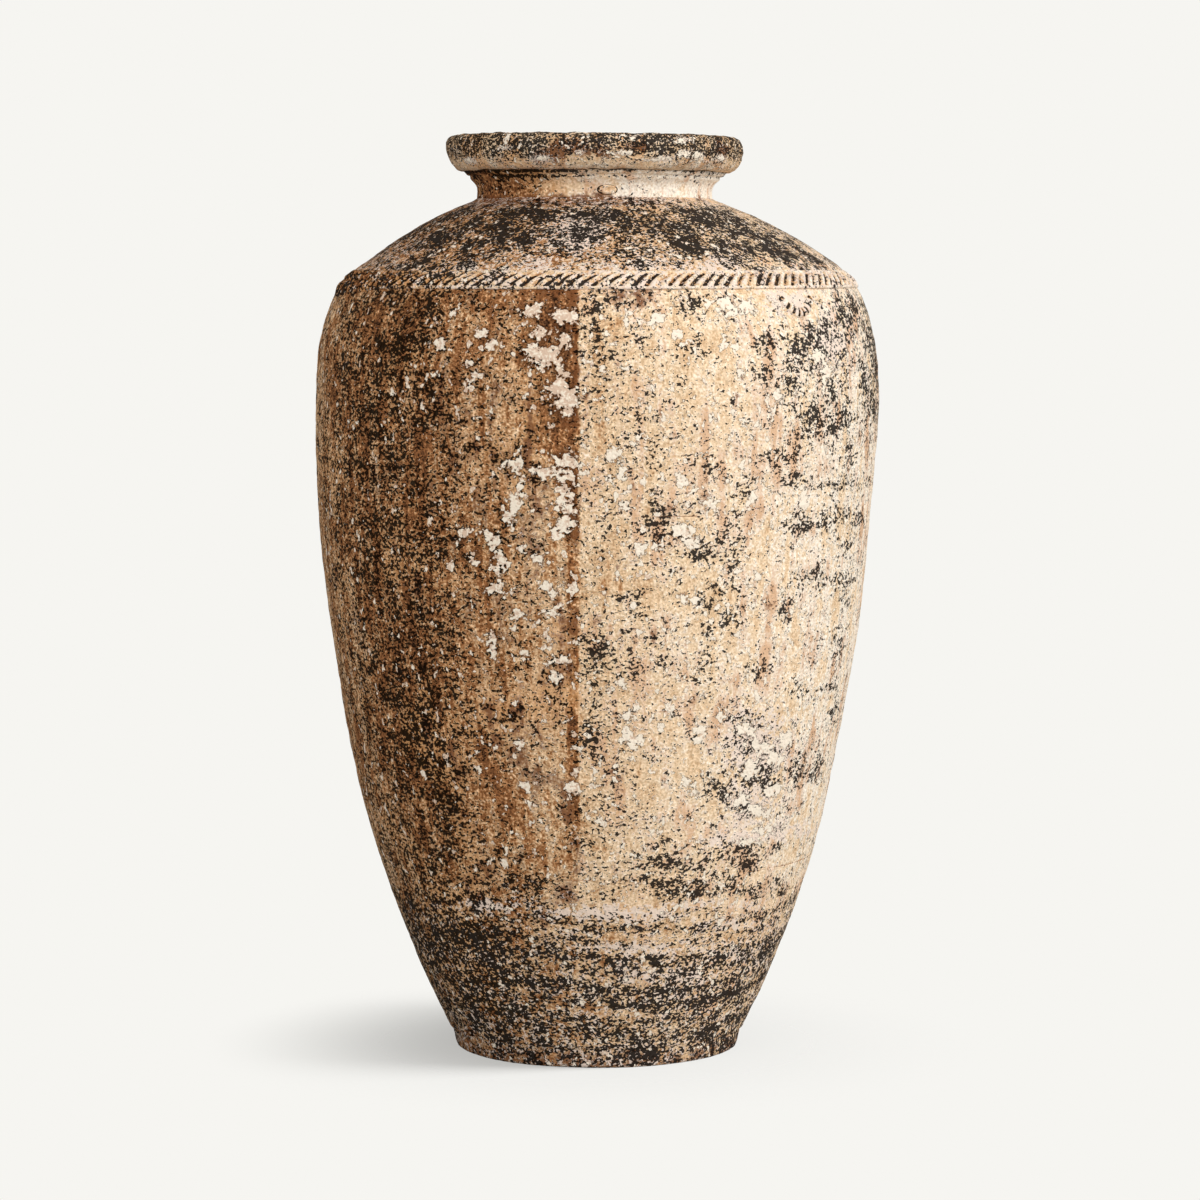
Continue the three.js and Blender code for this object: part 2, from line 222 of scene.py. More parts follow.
class JarStage(bpy.types.PropertyGroup):
    """Camera, light and floor."""
    lens: FloatProperty(name="Lens", description="Focal length in mm", default=126.0)
    distance: FloatProperty(name="Distance", description="Camera to the jar's axis",
                            default=4.06, unit="LENGTH")
    height: FloatProperty(name="Height", description="Camera above the floor",
                          default=0.762, unit="LENGTH")
    aside: FloatProperty(name="Aside", description="Camera to the right of the axis",
                         default=3.9 * MM, unit="LENGTH")
    pitch: FloatProperty(name="Pitch", description="Camera looking down",
                         default=math.radians(4.628), subtype="ANGLE")
    key: FloatProperty(name="Key light", description="Strength of the light from the right", default=1.9)
    front: FloatProperty(name="Front light", description="Strength of the light from the front",
                         default=1.35)
    shade: FloatProperty(name="Floor light", description="Strength of the light that shades the floor only",
                         default=16.0)
    ambient: FloatProperty(name="Ambient", description="Strength of the light from all round", default=0.5)
    floor: FloatVectorProperty(name="Floor", description="Colour of the matt floor",
                               default=linear("#616160"), subtype="COLOR")
    lift: FloatProperty(name="Floor lift", description="How much the camera sees the floor glow",
                        default=0.49)
    backdrop: FloatVectorProperty(name="Background", description="Colour behind the jar",
                                  default=linear("#f6f5f1"), subtype="COLOR")
    floor_near: FloatProperty(name="Floor near", description="Reach of the floor that is fully seen",
                              default=0.12, unit="LENGTH")
    floor_far: FloatProperty(name="Floor far", description="Reach at which the floor has melted away",
                             default=0.39, unit="LENGTH")


def node(tree, kind, inputs=(), out=0, **settings):
    """Adds one node with its settings, sets or links its inputs, and gives one of its outputs."""
    made = tree.nodes.new(kind)
    for key, value in settings.items():
        setattr(made, key, value)
    for key, value in inputs.items() if isinstance(inputs, dict) else enumerate(inputs):
        if isinstance(value, bpy.types.NodeSocket):
            tree.links.new(value, made.inputs[key])
        else:
            made.inputs[key].default_value = value
    return made.outputs[out] if made.outputs else made


def blend(tree, *pairs):
    """Sum of values, each with its weight."""
    result = 0.0
    for value, weight in pairs:
        result = node(tree, MATH, (value, weight, result), operation="MULTIPLY_ADD")
    return result


def mottle(tree, at, size, detail=2.0, roughness=0.5, stretch=(1.0, 1.0, 1.0)):
    """Soft blotches about zero, of a real size, drawn out along an axis where asked."""
    drawn = node(tree, VECTOR, (at, tuple(1 / s for s in stretch)), operation="MULTIPLY")
    fixed = isinstance(size, float)
    scale = 1 / size if fixed else node(tree, MATH, (1.0, size), operation="DIVIDE")
    value = node(tree, "ShaderNodeTexNoise", {"Vector": drawn, "Scale": scale, "Detail": detail,
                                              "Roughness": roughness})
    return node(tree, MATH, (value, STRETCH, -STRETCH / 2), operation="MULTIPLY_ADD")


def spline(points, spacing):
    """Points spaced evenly along a smooth line through the given points."""
    p = np.asarray(points, float)
    p = np.vstack([2 * p[0] - p[1], p, 2 * p[-1] - p[-2]])
    line = []
    for a, b, c, d in zip(p, p[1:], p[2:], p[3:]):
        spans = [np.linalg.norm(v - u) ** 0.5 for u, v in ((a, b), (b, c), (c, d))]
        knots = np.cumsum([0.0] + [max(span, 1e-6) for span in spans])
        t = np.linspace(knots[1], knots[2], SPLINE_STEPS, endpoint=False)[:, None]
        k0, k1, k2, k3 = knots
        ab = (k1 - t) / (k1 - k0) * a + (t - k0) / (k1 - k0) * b
        bc = (k2 - t) / (k2 - k1) * b + (t - k1) / (k2 - k1) * c
        cd = (k3 - t) / (k3 - k2) * c + (t - k2) / (k3 - k2) * d
        abc = (k2 - t) / (k2 - k0) * ab + (t - k0) / (k2 - k0) * bc
        bcd = (k3 - t) / (k3 - k1) * bc + (t - k1) / (k3 - k1) * cd
        line.append((k2 - t) / (k2 - k1) * abc + (t - k1) / (k2 - k1) * bcd)
    return evenly(np.vstack(line + [p[-2]]), spacing)


def evenly(line, spacing):
    """The same line with its points evenly spaced."""
    reach = np.concatenate([[0], np.cumsum(np.linalg.norm(np.diff(line, axis=0), axis=1))])
    at = np.linspace(0, reach[-1], max(2, int(round(reach[-1] / spacing)) + 1))
    return np.stack([np.interp(at, reach, line[:, i]) for i in range(line.shape[1])], axis=1)


def between(line, low, high):
    """The stretch of a rising line between two heights."""
    ends = [[np.interp(h, line[:, 1], line[:, 0]), h] for h in (low, high)]
    inner = line[(line[:, 1] > low) & (line[:, 1] < high)]
    return np.vstack([ends[0], inner, ends[1]])


def section(name, corner=50.0, reach=0.1 * MM):
    """A turned solid's section as (radius, height): the run up its outside and the run back inside."""
    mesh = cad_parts[name].data
    at = {}
    for v in mesh.vertices:
        if abs(v.co.x) < CLOSE and v.co.y < CLOSE:
            at[v.index] = (round(-v.co.y, 5) + 0.0, round(v.co.z, 5) + 0.0)
    near = {}
    for e in mesh.edges:
        a, b = (at.get(i) for i in e.vertices)
        if a and b and a != b:
            near.setdefault(a, set()).add(b)
            near.setdefault(b, set()).add(a)
    low = min(p[1] for p in near)
    start = max(p for p in near if p[1] < low + reach)
    first = max(near[start], key=lambda p: p[1] - 0.2 * abs(p[0] - start[0]))
    loop = [start, first]
    while True:
        ahead = [p for p in near[loop[-1]] if p != loop[-2] and p not in loop[1:]]
        if not ahead or ahead[0] == start:
            break
        loop.append(ahead[0])
    for i in range(1, len(loop)):
        before = np.subtract(loop[i], loop[i - 1])
        after = np.subtract(loop[(i + 1) % len(loop)], loop[i])
        bend = before @ after / np.linalg.norm(before) / np.linalg.norm(after)
        if bend < math.cos(math.radians(corner)):
            return loop[:i + 1], loop[i:]
    raise RuntimeError("the section of " + name + " has no inside")


# How far the middle of the hand-raised wall stands aside of the axis, and at which height
SWAY = ((0.0004, 0.0), (0.0002, 0.12), (-0.0004, 0.20), (-0.0018, 0.27), (-0.0019, 0.32), (-0.0012, 0.40),
        (-0.0018, 0.48), (-0.0012, 0.53), (0.0004, 0.58), (0.0018, 0.63), (0.0017, 0.70), (0.0022, 0.74),
        (0.0031, 0.765), (0.0012, 0.793), (-0.0012, 0.82), (-0.0006, 0.845), (-0.0018, 0.88))


def drift(z):
    """How far the jar's middle stands aside of the axis at a height."""
    line = spline(SWAY, 4 * MM)
    return np.interp(z, line[:, 1], line[:, 0])


def line_mesh(name, points, attributes):
    """A line of points with values on each, to turn or to lay."""
    mesh = bpy.data.meshes.new(name)
    mesh.from_pydata([tuple(p) for p in points], [(i, i + 1) for i in range(len(points) - 1)], [])
    for key, values in attributes.items():
        values = np.asarray(values, np.float32)
        vector = values.ndim == 2
        made = mesh.attributes.new(key, "FLOAT_VECTOR" if vector else "FLOAT", "POINT")
        made.data.foreach_set("vector" if vector else "value", values.ravel())
    made = bpy.data.objects.new(name, mesh)
    bpy.context.scene.collection.objects.link(made)
    return made


def group(name, sockets):
    """A new geometry tree with its named inputs, and its input sockets and output node."""
    tree = bpy.data.node_groups.new(name, "GeometryNodeTree")
    tree.is_modifier = True
    tree.interface.new_socket(name="Geometry", in_out="OUTPUT", socket_type="NodeSocketGeometry")
    tree.interface.new_socket(name="Geometry", in_out="INPUT", socket_type="NodeSocketGeometry")
    for label, kind in sockets:
        tree.interface.new_socket(name=label, in_out="INPUT", socket_type="NodeSocket" + kind)
    return tree, node(tree, "NodeGroupInput").node.outputs, tree.nodes.new("NodeGroupOutput")


def grown(obj, tree, values):
    """The plain mesh that a geometry tree makes of an object, with the inputs set by their identifiers."""
    modifier = obj.modifiers.new(tree.name, "NODES")
    modifier.node_group = tree
    for item in tree.interface.items_tree:
        if item.in_out == "INPUT" and item.name in values:
            modifier[item.identifier] = values[item.name]
    depsgraph = bpy.context.evaluated_depsgraph_get()
    mesh = bpy.data.meshes.new_from_object(obj.evaluated_get(depsgraph), depsgraph=depsgraph)
    obj.modifiers.remove(modifier)
    old = obj.data
    obj.data = mesh
    bpy.data.meshes.remove(old)
    mesh.name = obj.name
    mesh.set_sharp_from_angle(angle=SHARP)
    return obj


def sheet(tree, columns, rows):
    """A flat grid to be shaped, and the column and row of each of its points."""
    grid = node(tree, "GeometryNodeMeshGrid", {"Vertices X": columns, "Vertices Y": rows})
    index = node(tree, "GeometryNodeInputIndex")
    middle = node(tree, MATH, (index, 0.5), operation="ADD")
    share = node(tree, MATH, (middle, rows), operation="DIVIDE")
    column = node(tree, MATH, (share,), operation="FLOOR")
    row = node(tree, MATH, (index, rows), operation="MODULO")
    return grid, column, row


def carried(tree, line, index, key=None, kind="FLOAT"):
    """What one point of the line carries under a name, or its place."""
    value = node(tree, "GeometryNodeInputPosition")
    if key:
        value = node(tree, "GeometryNodeInputNamedAttribute", {"Name": key}, data_type=kind)
    return node(tree, "GeometryNodeSampleIndex", {"Geometry": line, "Value": value, "Index": index},
                data_type=kind, domain="POINT")


def shaped(tree, grid, place, uv, skin, cut, finish, output):
    """Last nodes of a tree: the grid in its place, its map, skin and cut, closed, smooth and finished."""
    moved = node(tree, "GeometryNodeSetPosition", {"Geometry": grid, "Position": place})
    store = "GeometryNodeStoreNamedAttribute"
    mapped = node(tree, store, {"Geometry": moved, "Name": "OFBake", "Value": uv}, data_type="FLOAT2",
                  domain="CORNER")
    kept = node(tree, store, {"Geometry": mapped, "Name": "skin", "Value": skin}, data_type="FLOAT",
                domain="POINT")
    # The cut darkens the slip in the material, as dirt and painted shade deep in notches and dents
    kept = node(tree, store, {"Geometry": kept, "Name": "cut", "Value": cut}, data_type="FLOAT",
                domain="POINT")
    closed = node(tree, "GeometryNodeMergeByDistance", {"Geometry": kept, "Distance": CLOSE})
    smooth = node(tree, "GeometryNodeSetShadeSmooth", {"Geometry": closed, "Shade Smooth": True})
    whole = node(tree, "GeometryNodeRealizeInstances", {"Geometry": smooth})
    last = node(tree, "GeometryNodeSetMaterial", {"Geometry": whole, "Material": finish})
    tree.links.new(last, output.inputs[0])


def swollen(tree, at, given):
    """Broad swell of the hand-raised wall at a place, the same for every piece that lies there."""
    swell = mottle(tree, at, given["Wobble size"], 1.0)
    return node(tree, MATH, (swell, given["Wobble"]), operation="MULTIPLY")


def summed(tree, place, *pushes):
    """A place moved by several pushes, each a direction with its length."""
    for direction, length in pushes:
        push = node(tree, VECTOR, {0: direction, "Scale": length}, operation="SCALE")
        place = node(tree, VECTOR, (place, push), operation="ADD")
    return place


TURNED_INPUTS = (("Segments", "Int"), ("Wobble", "Float"), ("Wobble size", "Float"),
                 ("Lump relief", "Float"), ("Lump size", "Float"))


def turned(tree, given, output, relief):
    """Turns the line round the axis, swollen away from it, raised by the relief and cut by its notches."""
    line = given["Geometry"]
    rows = node(tree, "GeometryNodeAttributeDomainSize", (line,), component="MESH")
    columns = node(tree, MATH, (given["Segments"], 1.0), operation="ADD")
    grid, column, row = sheet(tree, columns, rows)
    share = node(tree, MATH, (column, given["Segments"]), operation="DIVIDE")
    angle = node(tree, MATH, (share, 2 * math.pi), operation="MULTIPLY")
    at = carried(tree, line, row, kind="FLOAT_VECTOR")
    at = node(tree, TURN, {"Vector": at, "Angle": angle}, **ROUND_Z)
    out = carried(tree, line, row, "outward", "FLOAT_VECTOR")
    out = node(tree, TURN, {"Vector": out, "Angle": angle}, **ROUND_Z)
    away = node(tree, TURN, {"Vector": (0.0, -1.0, 0.0), "Angle": angle}, **ROUND_Z)
    along = carried(tree, line, row, "along")
    press = carried(tree, line, row, "press")
    lumps = mottle(tree, at, given["Lump size"], 3.0, 0.6)
    height, cut = relief(at, share, along, press)
    height = blend(tree, (lumps, given["Lump relief"]), (height, 1.0))
    place = summed(tree, at, (away, swollen(tree, at, given)), (out, height),
                   ((1.0, 0.0, 0.0), carried(tree, line, row, "drift")))
    uv = node(tree, "ShaderNodeCombineXYZ", (share, along))
    skin = node(tree, VECTOR, (out,), out="Value", operation="LENGTH")
    shaped(tree, grid, place, uv, skin, cut, given["Finish"], output)
    return tree


def clay_tree():
    """Geometry tree of a turned piece of clay with the soft rings of the hand that smoothed it."""
    made = bpy.data.node_groups.get("Turned clay")
    if made:
        return made
    tree, given, output = group("Turned clay", TURNED_INPUTS + (
        ("Ring relief", "Float"), ("Ring pitch", "Float"), ("Finish", "Material")))

    def rings(at, share, along, press):
        ring = mottle(tree, at, given["Ring pitch"], 2.0, 0.5, (5.0, 5.0, 1.0))
        return node(tree, MATH, (ring, given["Ring relief"]), operation="MULTIPLY"), 0.0
    return turned(tree, given, output, rings)


def cordon_tree():
    """Geometry tree of a strip laid round the jar and pressed with slanting notches, no two alike."""
    tree, given, output = group("Notched cordon", TURNED_INPUTS + (
        ("Notches", "Int"), ("Depth", "Float"), ("Slant", "Float"), ("Width", "Float"),
        ("Finish", "Material")))

    def notches(at, share, along, press):
        sway = mottle(tree, at, 42 * MM, 1.0)
        bent = node(tree, MATH, (along, 5.0, 1.0), operation="MULTIPLY_ADD")
        bent = node(tree, MATH, (along, bent), operation="MULTIPLY")
        phase = blend(tree, (share, given["Notches"]), (bent, given["Slant"]), (sway, 0.08))
        number = node(tree, MATH, (phase,), operation="FLOOR")
        force = node(tree, "ShaderNodeTexWhiteNoise", {"W": number}, out="Value", noise_dimensions="1D")
        force = node(tree, MATH, (force, 0.5, 0.6), operation="MULTIPLY_ADD")
        middle = node(tree, MATH, (phase, number), operation="SUBTRACT")
        side = node(tree, MATH, (middle, 0.5), operation="SUBTRACT")
        side = node(tree, MATH, (side,), operation="ABSOLUTE")
        cut = node(tree, RANGE, (side, given["Width"], 0.04), **SMOOTH)
        cut = node(tree, MATH, (cut, force), operation="MULTIPLY")
        cut = node(tree, MATH, (cut, press), operation="MULTIPLY")
        depth = node(tree, MATH, (cut, given["Depth"]), operation="MULTIPLY")
        return node(tree, MATH, (depth, -1.0), operation="MULTIPLY"), cut
    return turned(tree, given, output, notches)


def swag_tree():
    """Geometry tree of a round strip laid along a line on the wall and pressed with notches across it."""
    tree, given, output = group("Laid swag", (
        ("Notches", "Int"), ("Depth", "Float"), ("Width", "Float"), ("Proud", "Float"), ("Wobble", "Float"),
        ("Wobble size", "Float"), ("Finish", "Material")))
    line = given["Geometry"]
    rows = SWAG_SIDES + 1
    columns = node(tree, "GeometryNodeAttributeDomainSize", (line,), component="MESH")
    grid, column, row = sheet(tree, columns, rows)
    share = node(tree, MATH, (column, node(tree, MATH, (columns, 1.0), operation="SUBTRACT")),
                 operation="DIVIDE")
    round_share = node(tree, MATH, (row, 1 / (rows - 1)), operation="MULTIPLY")
    angle = node(tree, MATH, (round_share, 2 * math.pi), operation="MULTIPLY")
    across = node(tree, MATH, (angle,), operation="COSINE")
    rise = node(tree, MATH, (angle,), operation="SINE")
    at = carried(tree, line, column, kind="FLOAT_VECTOR")
    out = carried(tree, line, column, "outward", "FLOAT_VECTOR")
    up = carried(tree, line, column, "upward", "FLOAT_VECTOR")
    end = carried(tree, line, column, "end")
    half = node(tree, MATH, (given["Width"], 0.5), operation="MULTIPLY")
    wide = node(tree, MATH, (across, half), operation="MULTIPLY")
    wide = node(tree, MATH, (wide, end), operation="MULTIPLY")
    proud = node(tree, MATH, (rise, given["Proud"]), operation="MULTIPLY")
    proud = node(tree, MATH, (proud, end), operation="MULTIPLY")
    phase = node(tree, MATH, (share, given["Notches"]), operation="MULTIPLY")
    phase = node(tree, MATH, (phase,), operation="FRACT")
    side = node(tree, MATH, (phase, 0.5), operation="SUBTRACT")
    side = node(tree, MATH, (side,), operation="ABSOLUTE")
    cut = node(tree, RANGE, (side, 0.34, 0.08), **SMOOTH)
    top = node(tree, RANGE, (rise, 0.25, 0.7), **SMOOTH)
    cut = node(tree, MATH, (cut, top), operation="MULTIPLY")
    depth = node(tree, MATH, (cut, given["Depth"]), operation="MULTIPLY")
    lumps = mottle(tree, at, 6 * MM, 3.0, 0.6)
    height = blend(tree, (proud, 1.0), (depth, -1.0), (lumps, 0.14 * MM), (swollen(tree, at, given), 1.0))
    place = summed(tree, at, (up, wide), (out, height))
    uv = node(tree, "ShaderNodeCombineXYZ", (share, round_share))
    shaped(tree, grid, place, uv, 1.0, cut, given["Finish"], output)
    return tree


def pellet_tree():
    """Geometry tree of a pellet of clay flattened on the neck and dented by a fingertip."""
    tree, given, output = group("Pressed pellet", (
        ("Azimuth", "Float"), ("Seat", "Vector"), ("Size", "Vector"), ("Dent", "Float"),
        ("Finish", "Material")))
    ball = node(tree, "GeometryNodeMeshUVSphere", {"Segments": 96, "Rings": 48, "Radius": 1.0})
    position = node(tree, "GeometryNodeInputPosition")
    at = node(tree, VECTOR, (position, given["Size"]), operation="MULTIPLY")
    flat = node(tree, VECTOR, (position, (1.0, 0.0, 1.0)), operation="MULTIPLY")
    reach = node(tree, VECTOR, (flat,), out="Value", operation="LENGTH")
    dent = node(tree, RANGE, (reach, 0.75, 0.1), **SMOOTH)
    lumps = mottle(tree, at, 7 * MM, 3.0, 0.6)
    inward = blend(tree, (dent, given["Dent"]), (lumps, 0.4 * MM))
    at = summed(tree, at, ((0.0, 1.0, 0.0), inward))
    turned_at = node(tree, TURN, {"Vector": at, "Angle": given["Azimuth"]}, **ROUND_Z)
    place = node(tree, VECTOR, (turned_at, given["Seat"]), operation="ADD")

    # The cut is stored after the points have moved, so it is worked out back from their last place
    back = node(tree, VECTOR, (position, given["Seat"]), operation="SUBTRACT")
    back = node(tree, TURN, {"Vector": back, "Angle": given["Azimuth"]}, invert=True, **ROUND_Z)
    share = node(tree, VECTOR, (back, given["Size"]), operation="DIVIDE")
    share = node(tree, VECTOR, (share, (1.0, 0.0, 1.0)), operation="MULTIPLY")
    rim = node(tree, VECTOR, (share,), out="Value", operation="LENGTH")
    foot = node(tree, RANGE, (rim, 0.7, 0.95), **SMOOTH)
    pits = node(tree, RANGE, (mottle(tree, back, 4 * MM), 0.2, 0.7), **SMOOTH)
    # Round its foot and in its pits the cut darkens the slip in the material, as dirt and painted shade
    cut = blend(tree, (foot, 0.8), (pits, 0.4))
    shaped(tree, ball, place, ball.node.outputs["UV Map"], 1.0, cut, given["Finish"], output)
    return tree


def outward(points):
    """Outward directions of a run of section points that goes up the outside."""
    along = np.gradient(points, axis=0)
    normal = np.stack([along[:, 1], -along[:, 0]], axis=1)
    return normal / np.linalg.norm(normal, axis=1, keepdims=True)


def at_front(points):
    """Section points as places, or directions, at the front of the jar."""
    return np.stack([np.zeros(len(points)), -points[:, 0], points[:, 1]], axis=1)


def section_line(name, outside, inside, press=None):
    """The line of points that is turned, with what each point carries."""
    points = np.vstack([outside, inside])
    reach = np.concatenate([[0], np.cumsum(np.linalg.norm(np.diff(points, axis=0), axis=1))])
    return line_mesh(name, at_front(points), {
        "outward": at_front(np.vstack([outward(outside), np.zeros((len(inside), 2))])),
        "along": reach / reach[-1],
        "drift": drift(points[:, 1]),
        "press": np.zeros(len(points)) if press is None else np.append(press, np.zeros(len(inside))),
    })


def turned_sizes(finish, lump=1.0):
    """Inputs that every turned piece shares."""
    form = bpy.context.scene.jar_form
    return {"Segments": form.segments, "Wobble": form.wobble, "Wobble size": form.wobble_size,
            "Lump relief": form.lump * lump, "Lump size": form.lump_size, "Ring relief": form.ring,
            "Ring pitch": form.ring_pitch, "Finish": finish}


def clay_piece(name, outside, inside, finish, lump=1.0):
    """The looks of one turned solid: a smooth outside, and its own inside back to the start."""
    inner = [outside[-1]] + [np.array(p) for p in inside[1:]]
    if inner[-1][0] == 0 and inner[-1][1] != outside[0][1]:
        inner.append(np.array([0.0, outside[0][1]]))
    inner.append(outside[0])
    run = [inner[0]]
    for a, b in zip(inner, inner[1:]):
        steps = max(1, int(math.dist(a, b) / INSIDE_ROW))
        run += [a + (b - a) * (i + 1) / steps for i in range(steps)]
    made = section_line(name + "_looks", outside, np.array(run[1:]))
    return grown(made, clay_tree(), turned_sizes(finish, lump))


def tilted(obj):
    """Leans the neck and rim to one side, as hand-set collars do."""
    form = bpy.context.scene.jar_form
    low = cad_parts["neck"].bound_box[0][2]
    for v in obj.data.vertices:
        t = min(max((v.co.z - low) / TILT_RISE, 0.0), 1.0)
        v.co.z -= v.co.x * math.tan(form.tilt) * t
    return obj


def sagged(obj, low, high):
    """Lets the lip of the cordon sag down the wall at the left, where it was laid on too wet."""
    droop = bpy.context.scene.jar_form.droop
    wall = wall_line()
    co = np.empty(len(obj.data.vertices) * 3, np.float32)
    obj.data.vertices.foreach_get("co", co)
    x, y, z = co.reshape(-1, 3).astype(float).T
    azimuth = np.degrees(np.arctan2(x, -y))
    share = np.interp(azimuth, (-125, -85, -72, -52), (0.0, 1.0, 0.7, 0.0))
    share = share * np.clip((high - z) / (high - low), 0, 1)
    lower = z - share * droop
    radius = np.hypot(x - drift(z), y)
    proud = radius - np.interp(z, wall[:, 1], wall[:, 0])
    flat = np.interp(lower, wall[:, 1], wall[:, 0]) + proud * (1 - 0.8 * share)
    push = np.where(share > 0, flat / radius, 1.0)
    co = np.stack([x * push, y * push, lower], axis=1)
    obj.data.vertices.foreach_set("co", co.astype(np.float32).ravel())
    return obj


def place(obj, node_name, slot):
    """Makes an object stand for a solid of the frame."""
    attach(obj, "root")
    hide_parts(node_name)
    return obj


def picture(co, stage):
    """Where points are seen on the front's grid, across and down."""
    focal = stage.lens / FILM * GRID
    ahead = co[:, 1] + stage.distance
    up = co[:, 2] - stage.height
    sine = math.sin(stage.pitch)
    cosine = math.cos(stage.pitch)
    depth = ahead * cosine - up * sine
    across = GRID / 2 + focal * (co[:, 0] - stage.aside) / depth
    down = GRID / 2 - focal * (up * cosine + ahead * sine) / depth
    return across, down


def spots(seen, marks, spread=1.0, ragged=0.0):
    """Field of listed marks (across, down, half width, half height): 1 in a middle, 0 at an edge."""
    across, down, shown = seen
    aside = np.sin(down * 0.31 + 2 * np.sin(across * 0.17)) + np.sin(down * 0.71 + across * 0.37)
    below = np.sin(across * 0.27 + 2 * np.sin(down * 0.19)) + np.sin(across * 0.67 - down * 0.41)
    across = across + ragged * aside
    down = down + ragged * below
    field = np.full(len(across), -1.0)
    for x, y, wide, high in marks:
        near = np.hypot((across - x) / wide, (down - y) / high) / spread
        field = np.maximum(field, 1.0 - near)
    return field * shown - (1 - shown)


# Lime flakes on the stained left half and on the pale right half of the wall
LIME = (
    (531, 311, 10, 5), (563, 317, 11, 7), (572, 312, 5, 4), (538, 334, 8, 6), (543, 355, 16, 10),
    (565, 344, 6, 9), (556, 362, 5, 4), (564, 374, 8, 5), (558, 388, 11, 8), (567, 396, 9, 12),
    (561, 404, 10, 8), (567, 412, 6, 4), (482, 333, 6, 4), (493, 345, 6, 5), (440, 344, 5, 5),
    (468, 364, 4, 4), (478, 374, 5, 3), (469, 388, 4, 3), (452, 312, 4, 3), (513, 465, 9, 5),
    (520, 475, 4, 4), (542, 471, 10, 5), (545, 480, 3, 4), (566, 462, 10, 8), (568, 476, 9, 8),
    (563, 490, 6, 8), (561, 502, 5, 8), (568, 511, 9, 6), (564, 524, 9, 8), (556, 534, 4, 6),
    (571, 497, 3, 6), (520, 489, 3, 8), (516, 503, 5, 7), (509, 516, 6, 6), (464, 534, 6, 5),
    (486, 534, 6, 5), (496, 538, 4, 4), (473, 557, 4, 6), (494, 548, 3, 4), (499, 558, 6, 5),
    (497, 570, 6, 5), (506, 564, 3, 6), (522, 549, 4, 4), (534, 557, 3, 4), (543, 559, 5, 5),
    (452, 565, 4, 4), (495, 588, 9, 5), (547, 588, 8, 4), (554, 594, 4, 5), (572, 590, 3, 8),
    (519, 615, 5, 4), (536, 619, 6, 3), (550, 612, 8, 3), (563, 606, 5, 3), (513, 629, 3, 3),
    (493, 638, 5, 5), (494, 651, 4, 6), (524, 656, 4, 5), (558, 661, 8, 5), (576, 642, 3, 3),
    (556, 676, 5, 5), (520, 745, 5, 4), (573, 789, 6, 6), (575, 771, 4, 4), (525, 787, 5, 4),
    (576, 748, 4, 4), (565, 722, 5, 3), (613, 455, 9, 6), (622, 474, 4, 5), (624, 506, 5, 4),
    (686, 534, 10, 7), (679, 531, 5, 5), (692, 541, 6, 6), (662, 547, 7, 4), (640, 549, 5, 5),
    (742, 465, 3, 5), (660, 318, 6, 4), (676, 335, 6, 4), (725, 306, 7, 6), (733, 312, 5, 4),
    (724, 342, 3, 9), (741, 374, 3, 5), (603, 369, 5, 4), (614, 343, 4, 3), (624, 320, 3, 4),
    (746, 308, 8, 6), (736, 345, 4, 4), (804, 498, 3, 9), (801, 504, 3, 6), (709, 502, 7, 3),
    (714, 507, 3, 4), (752, 495, 3, 5), (749, 506, 3, 5), (758, 576, 4, 4), (741, 571, 4, 2),
    (684, 597, 6, 4), (634, 606, 4, 3), (696, 600, 4, 4), (683, 480, 5, 5), (628, 716, 6, 4),
    (700, 731, 6, 4), (633, 740, 9, 7), (660, 726, 4, 3), (688, 783, 6, 5), (720, 715, 5, 5),
    (745, 730, 8, 6), (762, 748, 10, 7), (750, 770, 7, 8), (770, 790, 8, 6), (757, 812, 9, 6),
    (775, 760, 6, 8), (740, 800, 6, 6), (785, 740, 6, 6), (765, 830, 10, 4), (750, 842, 10, 3),
    (610, 690, 5, 3), (621, 686, 6, 4), (776, 395, 4, 4), (818, 357, 8, 6), (826, 372, 6, 8),
)

